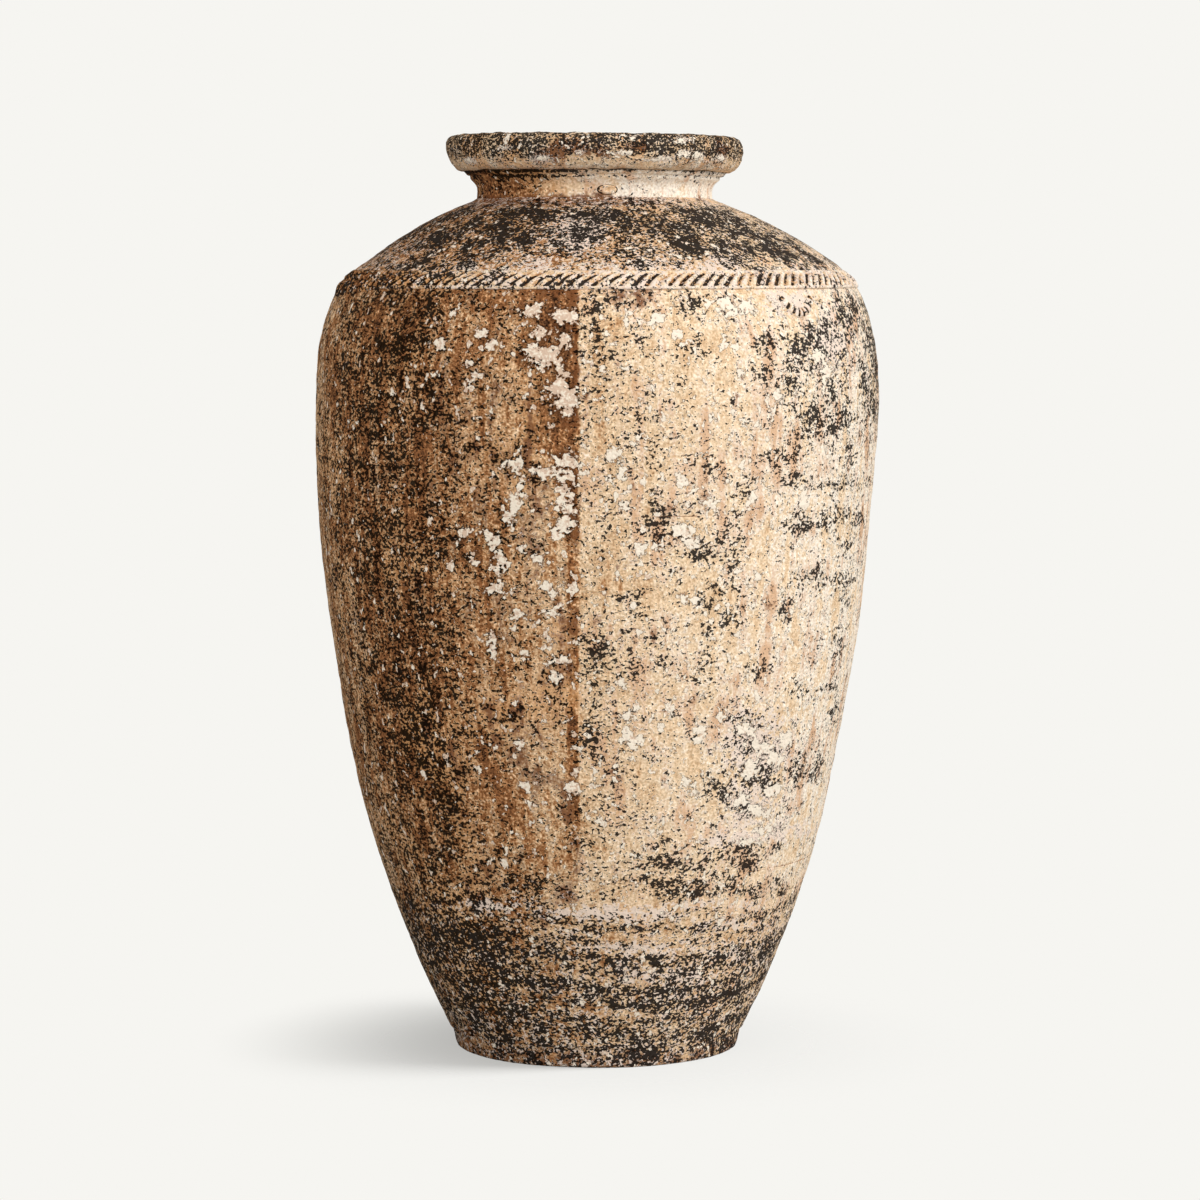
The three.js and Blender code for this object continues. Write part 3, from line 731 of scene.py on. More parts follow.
# Soot and dark lichen on the wall, as blotches that hang together of fine grains
SOOT = (
    (843, 303, 9, 10), (848, 322, 6, 16), (826, 330, 10, 9), (812, 338, 12, 10), (795, 342, 12, 12),
    (772, 346, 14, 9), (828, 374, 14, 12), (789, 380, 12, 14), (834, 392, 12, 10), (820, 350, 8, 14),
    (866, 312, 7, 26), (872, 345, 6, 24), (872, 395, 6, 30), (866, 372, 5, 16), (800, 360, 10, 8),
    (845, 350, 6, 18), (597, 305, 14, 14), (598, 327, 12, 12), (603, 356, 16, 6), (693, 305, 14, 9),
    (695, 345, 14, 8), (596, 341, 8, 10), (720, 300, 10, 6), (760, 372, 8, 8), (815, 418, 18, 18),
    (835, 428, 10, 10), (848, 452, 6, 14), (793, 453, 14, 5), (774, 461, 7, 7), (848, 414, 6, 16),
    (868, 404, 4, 12), (797, 482, 10, 7), (831, 484, 8, 8), (850, 484, 7, 7), (866, 482, 4, 6),
    (638, 414, 6, 6), (640, 425, 6, 7), (630, 443, 9, 6), (657, 451, 5, 6), (697, 455, 4, 5),
    (711, 465, 8, 5), (741, 496, 5, 12), (735, 514, 4, 8), (752, 486, 5, 5), (658, 512, 8, 10),
    (650, 520, 12, 5), (665, 530, 6, 8), (732, 538, 8, 5), (722, 532, 8, 3), (806, 524, 16, 7),
    (794, 534, 4, 10), (827, 525, 7, 6), (839, 514, 8, 7), (854, 519, 5, 12), (704, 555, 14, 6),
    (714, 544, 4, 8), (732, 561, 8, 6), (745, 552, 3, 9), (599, 569, 5, 5), (601, 549, 5, 6),
    (847, 545, 6, 9), (722, 590, 20, 6), (712, 602, 14, 8), (628, 595, 14, 4), (664, 590, 10, 4),
    (733, 620, 7, 6), (705, 628, 9, 6), (718, 628, 5, 5), (845, 582, 6, 12), (846, 600, 4, 8),
    (821, 578, 9, 9), (800, 580, 8, 5), (642, 616, 7, 7), (784, 609, 5, 8), (839, 640, 4, 18),
    (655, 645, 12, 3), (668, 652, 3, 5), (707, 654, 6, 5), (596, 655, 10, 20), (663, 668, 8, 6),
    (697, 674, 8, 6), (757, 669, 9, 4), (796, 691, 7, 6), (829, 688, 5, 8), (630, 672, 14, 3),
    (594, 690, 8, 10), (594, 728, 13, 12), (594, 752, 9, 10), (607, 735, 8, 5), (595, 847, 10, 6),
    (611, 835, 6, 5), (510, 878, 8, 10), (543, 882, 16, 6), (668, 866, 26, 9), (676, 889, 26, 10),
    (700, 874, 12, 8), (698, 908, 20, 5), (745, 849, 27, 7), (754, 893, 30, 4), (676, 838, 12, 3),
    (690, 847, 10, 3), (754, 779, 26, 12), (817, 768, 6, 13), (717, 786, 12, 7), (750, 746, 18, 8),
    (752, 720, 16, 6), (744, 806, 14, 8), (722, 800, 8, 8), (797, 770, 6, 12), (790, 735, 6, 8),
    (835, 712, 4, 10), (742, 866, 12, 7), (728, 880, 10, 4), (637, 880, 14, 4), (640, 862, 10, 5),
    (780, 890, 14, 5),
)

# Bold black strips at the right edge of the view
STRIPS = (
    (867, 308, 5, 24), (873, 340, 5, 26), (877, 374, 4, 28), (864, 386, 4, 14), (879, 412, 3, 22),
    (852, 304, 4, 10), (843, 312, 5, 18), (817, 416, 9, 10), (833, 428, 7, 7), (812, 334, 9, 9),
    (800, 526, 12, 5), (822, 524, 8, 4), (846, 548, 4, 7), (832, 484, 7, 6), (795, 478, 6, 5),
    (754, 780, 20, 7), (745, 806, 14, 6), (820, 768, 4, 10),
)

# Broad grime on the stained left half
GRIME = (
    (480, 315, 12, 12), (497, 300, 10, 8), (440, 420, 24, 40), (400, 350, 34, 50), (385, 300, 30, 18),
    (370, 420, 26, 50), (430, 500, 20, 40), (380, 560, 34, 50), (420, 620, 24, 30), (384, 660, 26, 30),
    (420, 690, 24, 30), (440, 540, 18, 24), (400, 760, 20, 30), (440, 800, 18, 26), (400, 480, 24, 24),
)

# Soot on the shoulder
SHOULDER_SOOT = (
    (498, 228, 52, 19), (470, 250, 30, 11), (540, 213, 50, 8), (650, 213, 66, 8), (660, 228, 46, 10),
    (765, 244, 46, 22), (790, 258, 26, 9), (700, 221, 50, 11), (695, 250, 46, 11), (560, 250, 26, 10),
    (420, 262, 24, 8), (735, 228, 44, 17), (610, 234, 20, 8), (440, 240, 26, 14), (822, 268, 10, 6),
)

# Worn pale patches of the wall and shoulder
WORN = (
    (757, 745, 26, 34), (750, 800, 22, 24), (780, 830, 34, 5), (725, 842, 22, 4), (700, 268, 60, 4),
    (620, 268, 50, 3), (545, 270, 40, 3), (470, 268, 20, 4), (607, 213, 20, 4), (650, 262, 22, 5),
    (540, 262, 12, 6), (785, 300, 26, 10), (830, 345, 16, 30), (578, 232, 34, 24), (722, 260, 16, 8),
    (800, 272, 30, 4), (740, 955, 30, 6), (690, 975, 36, 4), (660, 998, 40, 4), (600, 915, 40, 4),
    (640, 918, 50, 3), (500, 905, 30, 3), (615, 948, 40, 3),
)

# Bare pale strips that run round the lower wall
BARE = (
    (750, 838, 52, 5), (600, 912, 95, 5), (700, 904, 70, 4), (480, 905, 40, 4), (640, 948, 60, 3),
    (730, 925, 50, 3), (660, 975, 50, 3),
)

# Brown stains round flakes and under the cordon on the right half of the wall
STAINS = (
    (630, 296, 50, 9), (605, 372, 14, 26), (661, 424, 10, 22), (600, 418, 12, 12), (622, 398, 8, 22),
    (730, 330, 8, 20), (700, 299, 34, 7), (594, 395, 10, 20), (654, 508, 14, 10), (668, 520, 10, 12),
    (640, 470, 8, 30), (700, 500, 10, 20), (615, 560, 14, 12), (690, 560, 20, 8), (600, 640, 10, 30),
    (740, 380, 6, 24), (760, 600, 8, 30), (650, 640, 26, 8), (700, 700, 30, 10), (620, 770, 12, 20),
)

# Pale patches and rust of the rim
RIM_PALE = (
    (621, 153, 14, 3), (682, 140, 13, 5), (686, 153, 8, 5), (665, 158, 10, 3), (698, 155, 8, 4),
    (580, 152, 6, 3), (634, 137, 6, 3), (505, 148, 9, 4), (470, 160, 8, 4), (720, 158, 6, 4),
    (540, 158, 12, 3), (650, 160, 12, 2),
)
RIM_RUST = ((566, 148, 20, 6), (545, 155, 12, 4), (596, 152, 14, 4), (640, 148, 10, 4), (725, 150, 6, 6))

# Dots of dirt in the neck's groove
NECK_DOTS = (
    (692, 171, 5, 2), (702, 172, 4, 2), (709, 173, 5, 2), (678, 182, 4, 2), (695, 182, 4, 2),
    (684, 172, 3, 2), (724, 172, 6, 3), (500, 187, 3, 4), (507, 185, 3, 3), (520, 188, 4, 3),
    (490, 188, 3, 3),
)

# Where the stained left half of the wall ends, right of the axis, and how ragged that edge is
STAIN_EDGE = -15.5 * MM
STAIN_RAGGED = 0.7 * MM

# The back carries the front's marks, mirrored and turned by so many degrees
BACK_TURN = 14.0

# How squarely a point faces the front, as a cosine: where the back's marks begin, where the front's and
# the back's marks are gone, and over how much they fade
BACK_FROM = -0.2
FRONT_GONE = -0.35
BACK_GONE = -0.22
FADE = 0.3


def marked(co, normal, stage):
    """Where points lie on the grid of marks, of the front or of the back, and how far marks show there."""
    eye = np.array([stage.aside, -stage.distance, stage.height])
    toward = (eye - co) / np.linalg.norm(eye - co, axis=1, keepdims=True)
    facing = np.einsum("ij,ij->i", normal, toward)
    front = facing > BACK_FROM
    sine = math.sin(math.radians(BACK_TURN))
    cosine = math.cos(math.radians(BACK_TURN))
    x, y, z = co.T
    behind = np.stack([x * cosine + y * sine, x * sine - y * cosine, z], axis=1)
    shown = np.where(front, facing - FRONT_GONE, BACK_GONE - facing) / FADE
    return picture(np.where(front[:, None], co, behind), stage) + (np.clip(shown, 0, 1),)


def ramp(at, *marks):
    """Value at an azimuth in degrees, or at a place in mm, from given (place, value) marks."""
    return np.interp(at, *zip(*marks))


def wall_tone(z, azimuth, stained):
    """Tone of the wall's slip: brown on the left, buff to cream on the right, and even at the base."""
    # At about -85 degrees, the left edge of the view, the slip is lighter than just inside it: painted light
    # on the left limb
    left = ramp(azimuth, (-180, 0.64), (-160, 0.78), (-142, 0.7), (-120, 0.58), (-85, 0.72), (-66, 0.645),
                (-50, 0.61), (-36, 0.61), (-22, 0.65), (-12, 0.74), (-4, 0.75))
    right = ramp(azimuth, (-4, 0.83), (10, 0.88), (25, 0.91), (45, 0.95), (60, 0.98), (75, 0.985),
                 (95, 0.91), (118, 0.78), (132, 0.83), (150, 0.7), (180, 0.64))
    even = (left + right) / 2
    return even + (np.where(stained, left, right) - even) * ramp(z / MM, (120, 0.0), (230, 1.0))


def base_soot(z, azimuth):
    """Soot of the base, up to an edge that rises and falls round the jar."""
    edge = ramp(azimuth, (-180, 130), (-150, 165), (-125, 120), (-60, 165), (-20, 150), (10, 125), (60, 120),
                (105, 150), (140, 105), (180, 130))
    soot = ramp(z / MM - edge, (-150, -0.02), (-125, 0.06), (-90, 0.08), (-30, 0.12), (0, -0.02),
                (30, -0.24), (60, -0.9))
    return soot - ramp(azimuth, (-70, -0.01), (-25, -0.05), (-5, 0.04), (10, 0.04), (60, 0.0))


def base_layers(z, azimuth):
    """Faint uneven layers of soot round the base, stronger towards the right."""
    layers = np.sin(z * 400 + 2 * np.sin(azimuth * 0.06)) + np.sin(z * 170 + 1 + 2 * np.sin(azimuth * 0.04))
    layers += 0.8 * np.sin(z * 830 + 3 * np.sin(azimuth * 0.11)) * np.sin(azimuth * 0.09 + z * 60)
    near = ramp(z / MM, (20, 0.0), (40, 1.0), (160, 1.0), (200, 0.0))
    return 0.11 * layers * near * ramp(azimuth, (-40, 0.3), (0, 1.0))


def wall_soot(z, azimuth, stained, seen):
    """Soot of the wall: specks by zone, the sooted base, and the listed blotches and strips."""
    high = z / MM
    left = ramp(azimuth, (-180, -0.28), (-155, -0.38), (-120, -0.12), (-85, -0.16), (-66, -0.06), (-50, 0.0),
                (-38, -0.03), (-30, -0.15), (-20, -0.27), (-4, -0.35))
    right = ramp(azimuth, (-4, -0.3), (10, -0.37), (25, -0.43), (60, -0.44), (90, -0.34), (125, -0.38),
                 (150, -0.2), (180, -0.28))
    low = ramp(azimuth, (-90, 0.0), (-60, 1.0), (-15, 1.0), (0, 0.0)) * ramp(high, (220, 1.0), (250, 0.0))
    soot = np.maximum.reduce([np.where(stained, left, right), base_soot(z, azimuth), low - 1.1])
    soot = soot + ramp(azimuth, (-90, 0.06), (-20, 0.04), (0, 0.0)) * ramp(high, (150, 1.0), (250, 0.0))
    blotches = 0.52 * spots(seen, SOOT, 1.45, 4.0) - 0.27
    strips = 0.7 * spots(seen, STRIPS, 1.4, 2.5) - 0.24
    return np.maximum.reduce([soot, blotches, strips]) + base_layers(z, azimuth)


def wall_run(x, z, azimuth):
    """Brown runs along the edge of the stained half: a broad drip under the cordon and its thin tail."""
    high = z / MM
    aside = x / MM
    ragged = 4 * (np.sin(z * 47) + np.sin(z * 121 + 2) + 0.6 * np.sin(z * 310))
    drip = ramp(aside + ragged * (aside < -20), (-75, 0.0), (-50, 0.7), (-20, 1.0), (-15.5, 1.0), (-15, 0.0))
    drip *= ramp(high, (550, 0.0), (620, 1.0), (740, 1.0), (745, 0.0))
    tail = ramp(aside, (-28, 0.0), (-24, 0.8), (-17, 1.0), (-15.5, 1.0), (-15, 0.0))
    tail *= ramp(high, (190, 0.0), (260, 0.8), (600, 0.7), (640, 0.0))
    uneven = 0.5 + 0.5 * np.sin(x * 850 + 3 * np.sin(z * 80)) * np.sin(z * 95 + 2 * np.sin(x * 420))
    run = np.maximum(drip * (0.3 + 0.7 * uneven), tail * (0.4 + 0.35 * uneven))
    return np.where(np.abs(azimuth) < 60, run, 0)


def wall_fields(co, azimuth, seen):
    """Finish of the wall and foot: stained brown on the left, buff on the right, sooted at the base."""
    x = co[:, 0]
    z = co[:, 2]
    ragged = np.sin(z * 61) + np.sin(z * 143 + 1) + np.sin(z * 390) + np.sin(z * 710)
    stained = np.where(np.abs(azimuth) < 70, x < STAIN_EDGE + STAIN_RAGGED * ragged, azimuth < 0)
    run = wall_run(x, z, azimuth)
    grime = np.maximum(spots(seen, GRIME, 1.4, 8.0), 0)
    bare = np.maximum(spots(seen, BARE, 1.2, 2.0), 0)
    streaked = np.where(stained, ramp(azimuth, (-60, -0.4), (-40, -0.25), (-5, -0.2)), -0.55) + 0.3 * run
    foot = ramp(z / MM, (0, 0.3), (12, 0.15), (30, -0.8))
    worn = np.maximum(spots(seen, WORN, 1.2, 4.0) - 0.05, ramp(z / MM, (120, 0.0), (200, -0.85)))
    return {
        "tone": wall_tone(z, azimuth, stained) - 0.5 * run - 0.02 * grime,
        "soot": wall_soot(z, azimuth, stained, seen) - 0.4 * bare + 0.14 * grime,
        "rust": np.maximum.reduce([streaked, foot, 0.4 * spots(seen, STAINS, 1.3, 4.0) - 0.44]),
        "lime": spots(seen, LIME, 1.3, 1.4),
        "worn": worn + bare,
        "flakes": ramp(azimuth, (-60, 0.02), (-40, 0.06), (-20, 0.08), (0, 0.13), (40, 0.12), (70, 0.06),
                       (100, 0.05)),
    }


def shoulder_fields(co, azimuth, seen):
    """Finish of the shoulder: soot over buff slip, worn pale above the cordon, rusty at the neck."""
    high = co[:, 2] / MM
    soot = ramp(high, (745, -0.18), (757, -0.03), (768, 0.09), (785, 0.21), (808, 0.26), (814, -0.04),
                (820, -0.35))
    soot = soot + ramp(azimuth, (-180, -0.1), (-90, -0.06), (-40, -0.04), (0, -0.06), (40, -0.03),
                       (80, -0.12), (180, -0.1))
    rust = ramp(high, (808, -0.5), (814, 0.25), (821, 0.45)) - ramp(azimuth, (12, 0.0), (50, 0.4))
    edge = ramp(high, (748, 0.02), (765, 0.0))
    return {
        "tone": ramp(azimuth, (-180, 0.62), (-90, 0.62), (-50, 0.66), (-15, 0.71), (10, 0.77), (50, 0.9),
                     (90, 0.9), (180, 0.6)),
        "soot": np.maximum(soot, 0.7 * spots(seen, SHOULDER_SOOT, 1.3, 5.0) - 0.2),
        "rust": rust,
        "lime": -1.0,
        "worn": np.maximum(spots(seen, WORN, 1.2, 3.0) - 0.05, edge),
        "flakes": 0.08,
    }


def neck_fields(co, azimuth, seen):
    """Finish of the neck: cream slip, darker in the groove, rust at the root, stain and painted shade at the
    left, painted light at the right.
    """
    high = co[:, 2] / MM
    groove = np.maximum(1 - np.abs(high - 840.5) / 1.6, 1 - np.abs(high - 845.5) / 2)
    groove = np.clip(groove, -1, 0.4) - ramp(azimuth, (-30, 0.15), (5, 0.4), (40, 0.5))
    # The specks thicken at the left, partly as painted shade of the rim
    dusty = ramp(azimuth, (-180, -0.5), (-90, -0.2), (-50, -0.15), (-20, -0.5), (0, -0.7), (180, -0.5))
    return {
        # Tone is dark at the left, stain with the rim's shadow painted in, and above 1 at the right as
        # painted light that lifts the rim's shade
        "tone": ramp(azimuth, (-180, 0.65), (-90, 0.5), (-55, 0.46), (-30, 0.62), (-10, 0.9), (20, 1.0),
                     (60, 1.08), (90, 1.05), (180, 0.65)),
        "soot": np.maximum.reduce([dusty, groove, 0.6 * spots(seen, NECK_DOTS, 1.3) - 0.2]),
        "rust": ramp(high, (820, 0.3), (823, 0.0), (829, -0.6)) - ramp(azimuth, (-10, 0.0), (40, 0.35)),
        "lime": -1.0,
        "worn": -0.85,
        "flakes": 0.03,
    }


def boss_fields(co, azimuth, seen):
    """Finish of the pellet: the neck's slip, a little darker, with dirt and painted shade in its dents and
    round its foot.
    """
    fields = neck_fields(co, azimuth, seen)
    fields["tone"] = fields["tone"] - 0.04
    fields["soot"] = -0.5
    return fields


def rim_fields(co, azimuth, seen):
    """Finish of the rim: dark speckled crust with rust and pale patches, paler and warmer under its roll as
    painted bounce light.
    """
    high = co[:, 2] / MM
    # Under the roll the slip is a little paler and warmer, with more rust and less worn slip, as painted
    # light bounced up from the floor
    under = ramp(high, (850, 1.0), (860, 0.0))
    pale = spots(seen, RIM_PALE)
    rusty = spots(seen, RIM_RUST, 1.3, 2.0)
    tone = ramp(azimuth, (-180, 0.7), (-90, 0.77), (-30, 0.82), (0, 0.85), (40, 0.86), (180, 0.7))
    crust = ramp(high, (846, -0.5), (854, -0.35), (859, 0.0), (864, 0.13), (880, 0.19))
    crust = crust + ramp(azimuth, (0, 0.0), (30, 0.06), (90, 0.08))
    return {
        "tone": tone + 0.05 * under,
        "soot": crust - 0.5 * np.maximum(pale, 0) - 0.3 * np.maximum(rusty, 0),
        "rust": np.maximum(-0.5 + 0.1 * under, rusty),
        "lime": 0.8 * pale - 0.22,
        "worn": np.maximum(-0.25 - 0.4 * under, pale),
        "flakes": 0.1,
    }


def band_fields(co, azimuth, seen):
    """Finish of the cordon and swag: worn pale slip at the front and right, brown on the left."""
    return {
        "tone": ramp(azimuth, (-180, 0.6), (-90, 0.56), (-62, 0.58), (-45, 0.7), (-30, 0.84), (0, 0.92),
                     (40, 0.98), (90, 0.98), (180, 0.6)),
        "soot": ramp(azimuth, (-180, -0.4), (-90, 0.06), (-40, -0.08), (0, -0.34), (60, -0.42), (180, -0.4)),
        "rust": -0.6,
        "lime": -1.0,
        "worn": ramp(azimuth, (-180, -0.5), (-70, -0.4), (-30, -0.05), (20, 0.15), (60, 0.1), (180, -0.5)),
        "flakes": 0.05,
    }


def weather(obj, fields):
    """Stores a piece's finish on its points, as the named fields that its material reads."""
    mesh = obj.data
    co = np.empty(len(mesh.vertices) * 3, np.float32)
    mesh.vertices.foreach_get("co", co)
    co = co.reshape(-1, 3).astype(float)
    normal = np.empty(len(mesh.vertices) * 3, np.float32)
    mesh.vertex_normals.foreach_get("vector", normal)
    seen = marked(co, normal.reshape(-1, 3), bpy.context.scene.jar_stage)
    azimuth = np.degrees(np.arctan2(co[:, 0], -co[:, 1]))
    for key, values in fields(co, azimuth, seen).items():
        made = mesh.attributes.new(key, "FLOAT", "POINT")
        made.data.foreach_set("value", np.array(np.broadcast_to(values, len(co)), np.float32))
    return obj


# Finishes, each named for the coat that it is, with how strong its runs, how fine its grains and how large
# its patches of soot are
FINISHES = {
    # Bare fired clay, smoothed by hand and blackened by fires: black grains on red brown, rough and matt
    "Sooted terracotta": {},
    # Slip brushed on the wall and stained by years of rain: chalky and matt, with long brown runs
    "Stained cream slip": {"clump": 0.65},
    # The same slip where dirt settles: broad black patches of fine grains, with hardly any runs
    "Sooted shoulder slip": {"streaks": 0.02, "fine": 0.8, "clump": 1.3},
    # Slip wiped smooth with a wet hand: the palest and evenest coat, with few specks
    "Cream neck slip": {"streaks": 0.02},
    # Crust of soot and lichen on the rolled rim: small dark grains close together all over
    "Dark rim crust": {"streaks": 0.0, "fine": 0.55, "clump": 0.45},
    # Slip worn pale on the raised clay, dirt and painted shade in the notches, so the rope pattern stands
    # out
    "Pale cordon slip": {"streaks": 0.0},
}


def weathered(name, streaks=0.17, fine=1.0, clump=1.0):
    """Finish of stained slip on fired clay, with rust, worn slip, lime flakes and soot over it."""
    paint = bpy.context.scene.jar_finish
    shade = {key: (*getattr(paint, key), 1.0) for key in JarFinish.__annotations__}
    made = bpy.data.materials.new(name)
    made.use_nodes = True
    tree = made.node_tree
    tree.nodes.clear()
    at = node(tree, "ShaderNodeTexCoord", out="Object")
    kept = {key: node(tree, "ShaderNodeAttribute", out="Fac", attribute_name=key)
            for key in ("tone", "soot", "rust", "lime", "worn", "flakes", "skin", "cut")}

    # Real sizes of the stains, of the runs down the wall, of the flakes and of the crust of soot
    cloud = mottle(tree, at, 90 * MM, 3.0, 0.55)
    patch = mottle(tree, at, 24 * MM, 4.0, 0.6)
    lobe = mottle(tree, at, 11 * MM, 4.0, 0.65)
    runs = mottle(tree, at, 13 * MM, 3.0, 0.6, (1.0, 1.0, 9.0))
    crust = mottle(tree, at, 8 * MM * fine, 4.0, 0.75, (1.3, 1.3, 0.9))
    chip = mottle(tree, at, 8 * MM, 3.0, 0.55, (1.0, 1.0, 1.2))

    # Real grit and specks of soot are under half a millimetre, too fine to show, so they are drawn coarser
    grain = mottle(tree, at, 5 * MM * fine, 2.0, 0.65)
    grit = mottle(tree, at, 2.4 * MM, 1.0, 0.5)
    fleck = mottle(tree, at, 2.8 * MM * fine, 2.0, 0.6, (1.3, 1.3, 0.9))

    # Tone of the slip, where grain and runs show less on clean pale slip than on stained slip
    coarse = node(tree, RANGE, (kept["tone"], 0.5, 0.9, 1.0, 0.35))
    rough = node(tree, MATH, (blend(tree, (grain, 0.09), (grit, 0.1)), coarse), operation="MULTIPLY")
    drawn = node(tree, MATH, (runs, coarse), operation="MULTIPLY")
    # Deep in notches, dents and round the pellet's foot the cut darkens the tone, as dirt and painted shade
    tone = blend(tree, (kept["tone"], 1.0), (cloud, 0.04), (patch, 0.05), (rough, 1.0), (drawn, streaks),
                 (kept["cut"], -0.32))
    stops = ((0.0, "burnt"), (0.2, "umber"), (0.5, "brown"), (0.62, "fawn"), (0.75, "buff"), (0.88, "cream"),
             (1.0, "chalk"))
    colour = node(tree, "ShaderNodeValToRGB", (tone,))
    steps = colour.node.color_ramp.elements
    while len(steps) < len(stops):
        steps.new(0.5)
    for step, (spot, key) in zip(steps, stops):
        step.position = spot
        step.color = shade[key]
    sparkle = node(tree, MATH, (grit, coarse), operation="MULTIPLY")
    sparkle = node(tree, MATH, (sparkle, 0.24, 1.0), operation="MULTIPLY_ADD")
    colour = node(tree, VECTOR, {0: colour, "Scale": sparkle}, operation="SCALE")

    # How much of each coat lies on the slip: old spills, rust, worn slip, lime flakes and painted shadow at
    # their edges
    spill = blend(tree, (cloud, 0.4), (runs, 0.5), (patch, 0.3), (grain, 0.15))
    spill = node(tree, RANGE, (spill, -0.1, 1.0, 0.0, 0.72), **SMOOTH)
    rust = blend(tree, (kept["rust"], 1.0), (patch, 0.2), (grain, 0.12), (drawn, 0.34))
    rust = node(tree, RANGE, (rust, -0.2, 0.3, 0.0, 0.85), **SMOOTH)
    worn = blend(tree, (kept["worn"], 1.0), (patch, 0.2), (grain, 0.36), (fleck, 0.25))
    worn = node(tree, RANGE, (worn, -0.08, 0.2, 0.0, 0.85), **SMOOTH)
    large = blend(tree, (kept["lime"], 1.0), (lobe, 0.28), (grain, 0.16), (crust, -0.14), (fleck, -0.16))
    small = blend(tree, (kept["flakes"], 2.0), (chip, 1.0))
    # The dark edge round a flake is painted shadow of its raised rim, widest on dark stained slip
    reach = node(tree, RANGE, (kept["tone"], 0.62, 0.8, -0.4, -0.02))
    edge = node(tree, MATH, (node(tree, RANGE, (large, reach, 0.14), **SMOOTH),
                             node(tree, RANGE, (small, 1.15, 1.4), **SMOOTH)), operation="MAXIMUM")
    edge = node(tree, MATH, (edge, 0.8), operation="MULTIPLY")
    flake = node(tree, MATH, (node(tree, RANGE, (large, 0.15, 0.25), **SMOOTH),
                              node(tree, RANGE, (small, 1.4, 1.5), **SMOOTH)), operation="MAXIMUM")

    # Soot hangs together in clumps and leaves flakes clean; the black deep in the cuts is dirt and painted
    # shade
    deep = node(tree, RANGE, (kept["cut"], 0.35, 0.8), **SMOOTH)
    black = blend(tree, (kept["soot"], 1.0), (crust, 0.2), (fleck, 0.28), (grit, 0.2), (patch, 0.2 * clump),
                  (cloud, 0.08 * clump), (flake, -0.7), (deep, 0.8))
    black = node(tree, RANGE, (black, -0.04, 0.05, 0.0, 0.97), **SMOOTH)

    # Flakes are whiter and soot is greyer on pale slip than on stained slip
    pale = blend(tree, (kept["tone"], 1.0), (lobe, 0.14), (grain, 0.2), (grit, 0.16))
    pale = node(tree, RANGE, (pale, 0.42, 0.85), **SMOOTH)
    white = node(tree, MIX, {"Factor": pale, 6: shade["tan"], 7: shade["lime"]}, **COLOUR)
    smoke = node(tree, RANGE, (kept["tone"], 0.74, 0.92), **SMOOTH)
    smoke = node(tree, MIX, {"Factor": smoke, 6: shade["tar"], 7: shade["soot"]}, **COLOUR)
    # Laid over the slip in turn: spills, rust, worn slip, the painted shadow at flake edges, flakes and soot
    for amount, coat in ((spill, shade["ochre"]), (rust, shade["rust"]), (worn, shade["worn"]),
                         (edge, shade["halo"]), (flake, white), (black, smoke)):
        colour = node(tree, MIX, {"Factor": amount, 6: colour, 7: coat}, **COLOUR)
    colour = node(tree, MIX, {"Factor": kept["skin"], 6: shade["inside"], 7: colour}, **COLOUR)

    # Dry unglazed clay is very rough and mirrors next to nothing
    height = blend(tree, (patch, 0.15), (grain, 0.2), (grit, 0.22), (flake, 0.9), (black, 0.25))
    bump = node(tree, "ShaderNodeBump", {"Height": height, "Strength": 0.7, "Distance": 0.8 * MM})
    shader = node(tree, "ShaderNodeBsdfPrincipled", {"Base Color": colour, "Roughness": 0.9,
                                                     "Specular IOR Level": 0.02, "Normal": bump})
    node(tree, "ShaderNodeOutputMaterial", {"Surface": shader})
    return made


def finish(name):
    """A finish, made once."""
    return bpy.data.materials.get(name) or weathered(name, **FINISHES[name])


def wall_line():
    """The whole outside of the wall as one smooth close line, from the foot's top to the shoulder."""
    points = []
    for name in LIFTS:
        run = section(name)[0]
        points += run if not points else run[1:]
    return spline(points, CLOSE_ROW)


class JAR_OT_foot(bpy.types.Operator):
    """Builds the foot slab that the jar stands on"""
    bl_idname = "jar.foot"
    bl_label = "Foot slab"

    def execute(self, context):
        outside, inside = section("foot_slab")
        outside = spline(outside, context.scene.jar_form.fine_row)
        obj = clay_piece("foot_slab", outside, inside, finish("Sooted terracotta"))
        place(weather(obj, wall_fields), "foot_slab", "foot_clay")
        return {"FINISHED"}


class JAR_OT_lifts(bpy.types.Operator):
    """Builds the four lifts of the wall as one flowing outline"""
    bl_idname = "jar.lifts"
    bl_label = "Wall lifts"

    def execute(self, context):
        row = context.scene.jar_form.row
        line = wall_line()
        low = line[0][1]
        for name in LIFTS:
            outside, inside = section(name)
            high = outside[-1][1]
            outside = evenly(between(line, low, high), row)
            obj = clay_piece(name, outside, inside, finish("Stained cream slip"))
            place(weather(obj, wall_fields), name, "wall_slip")
            low = high
        return {"FINISHED"}


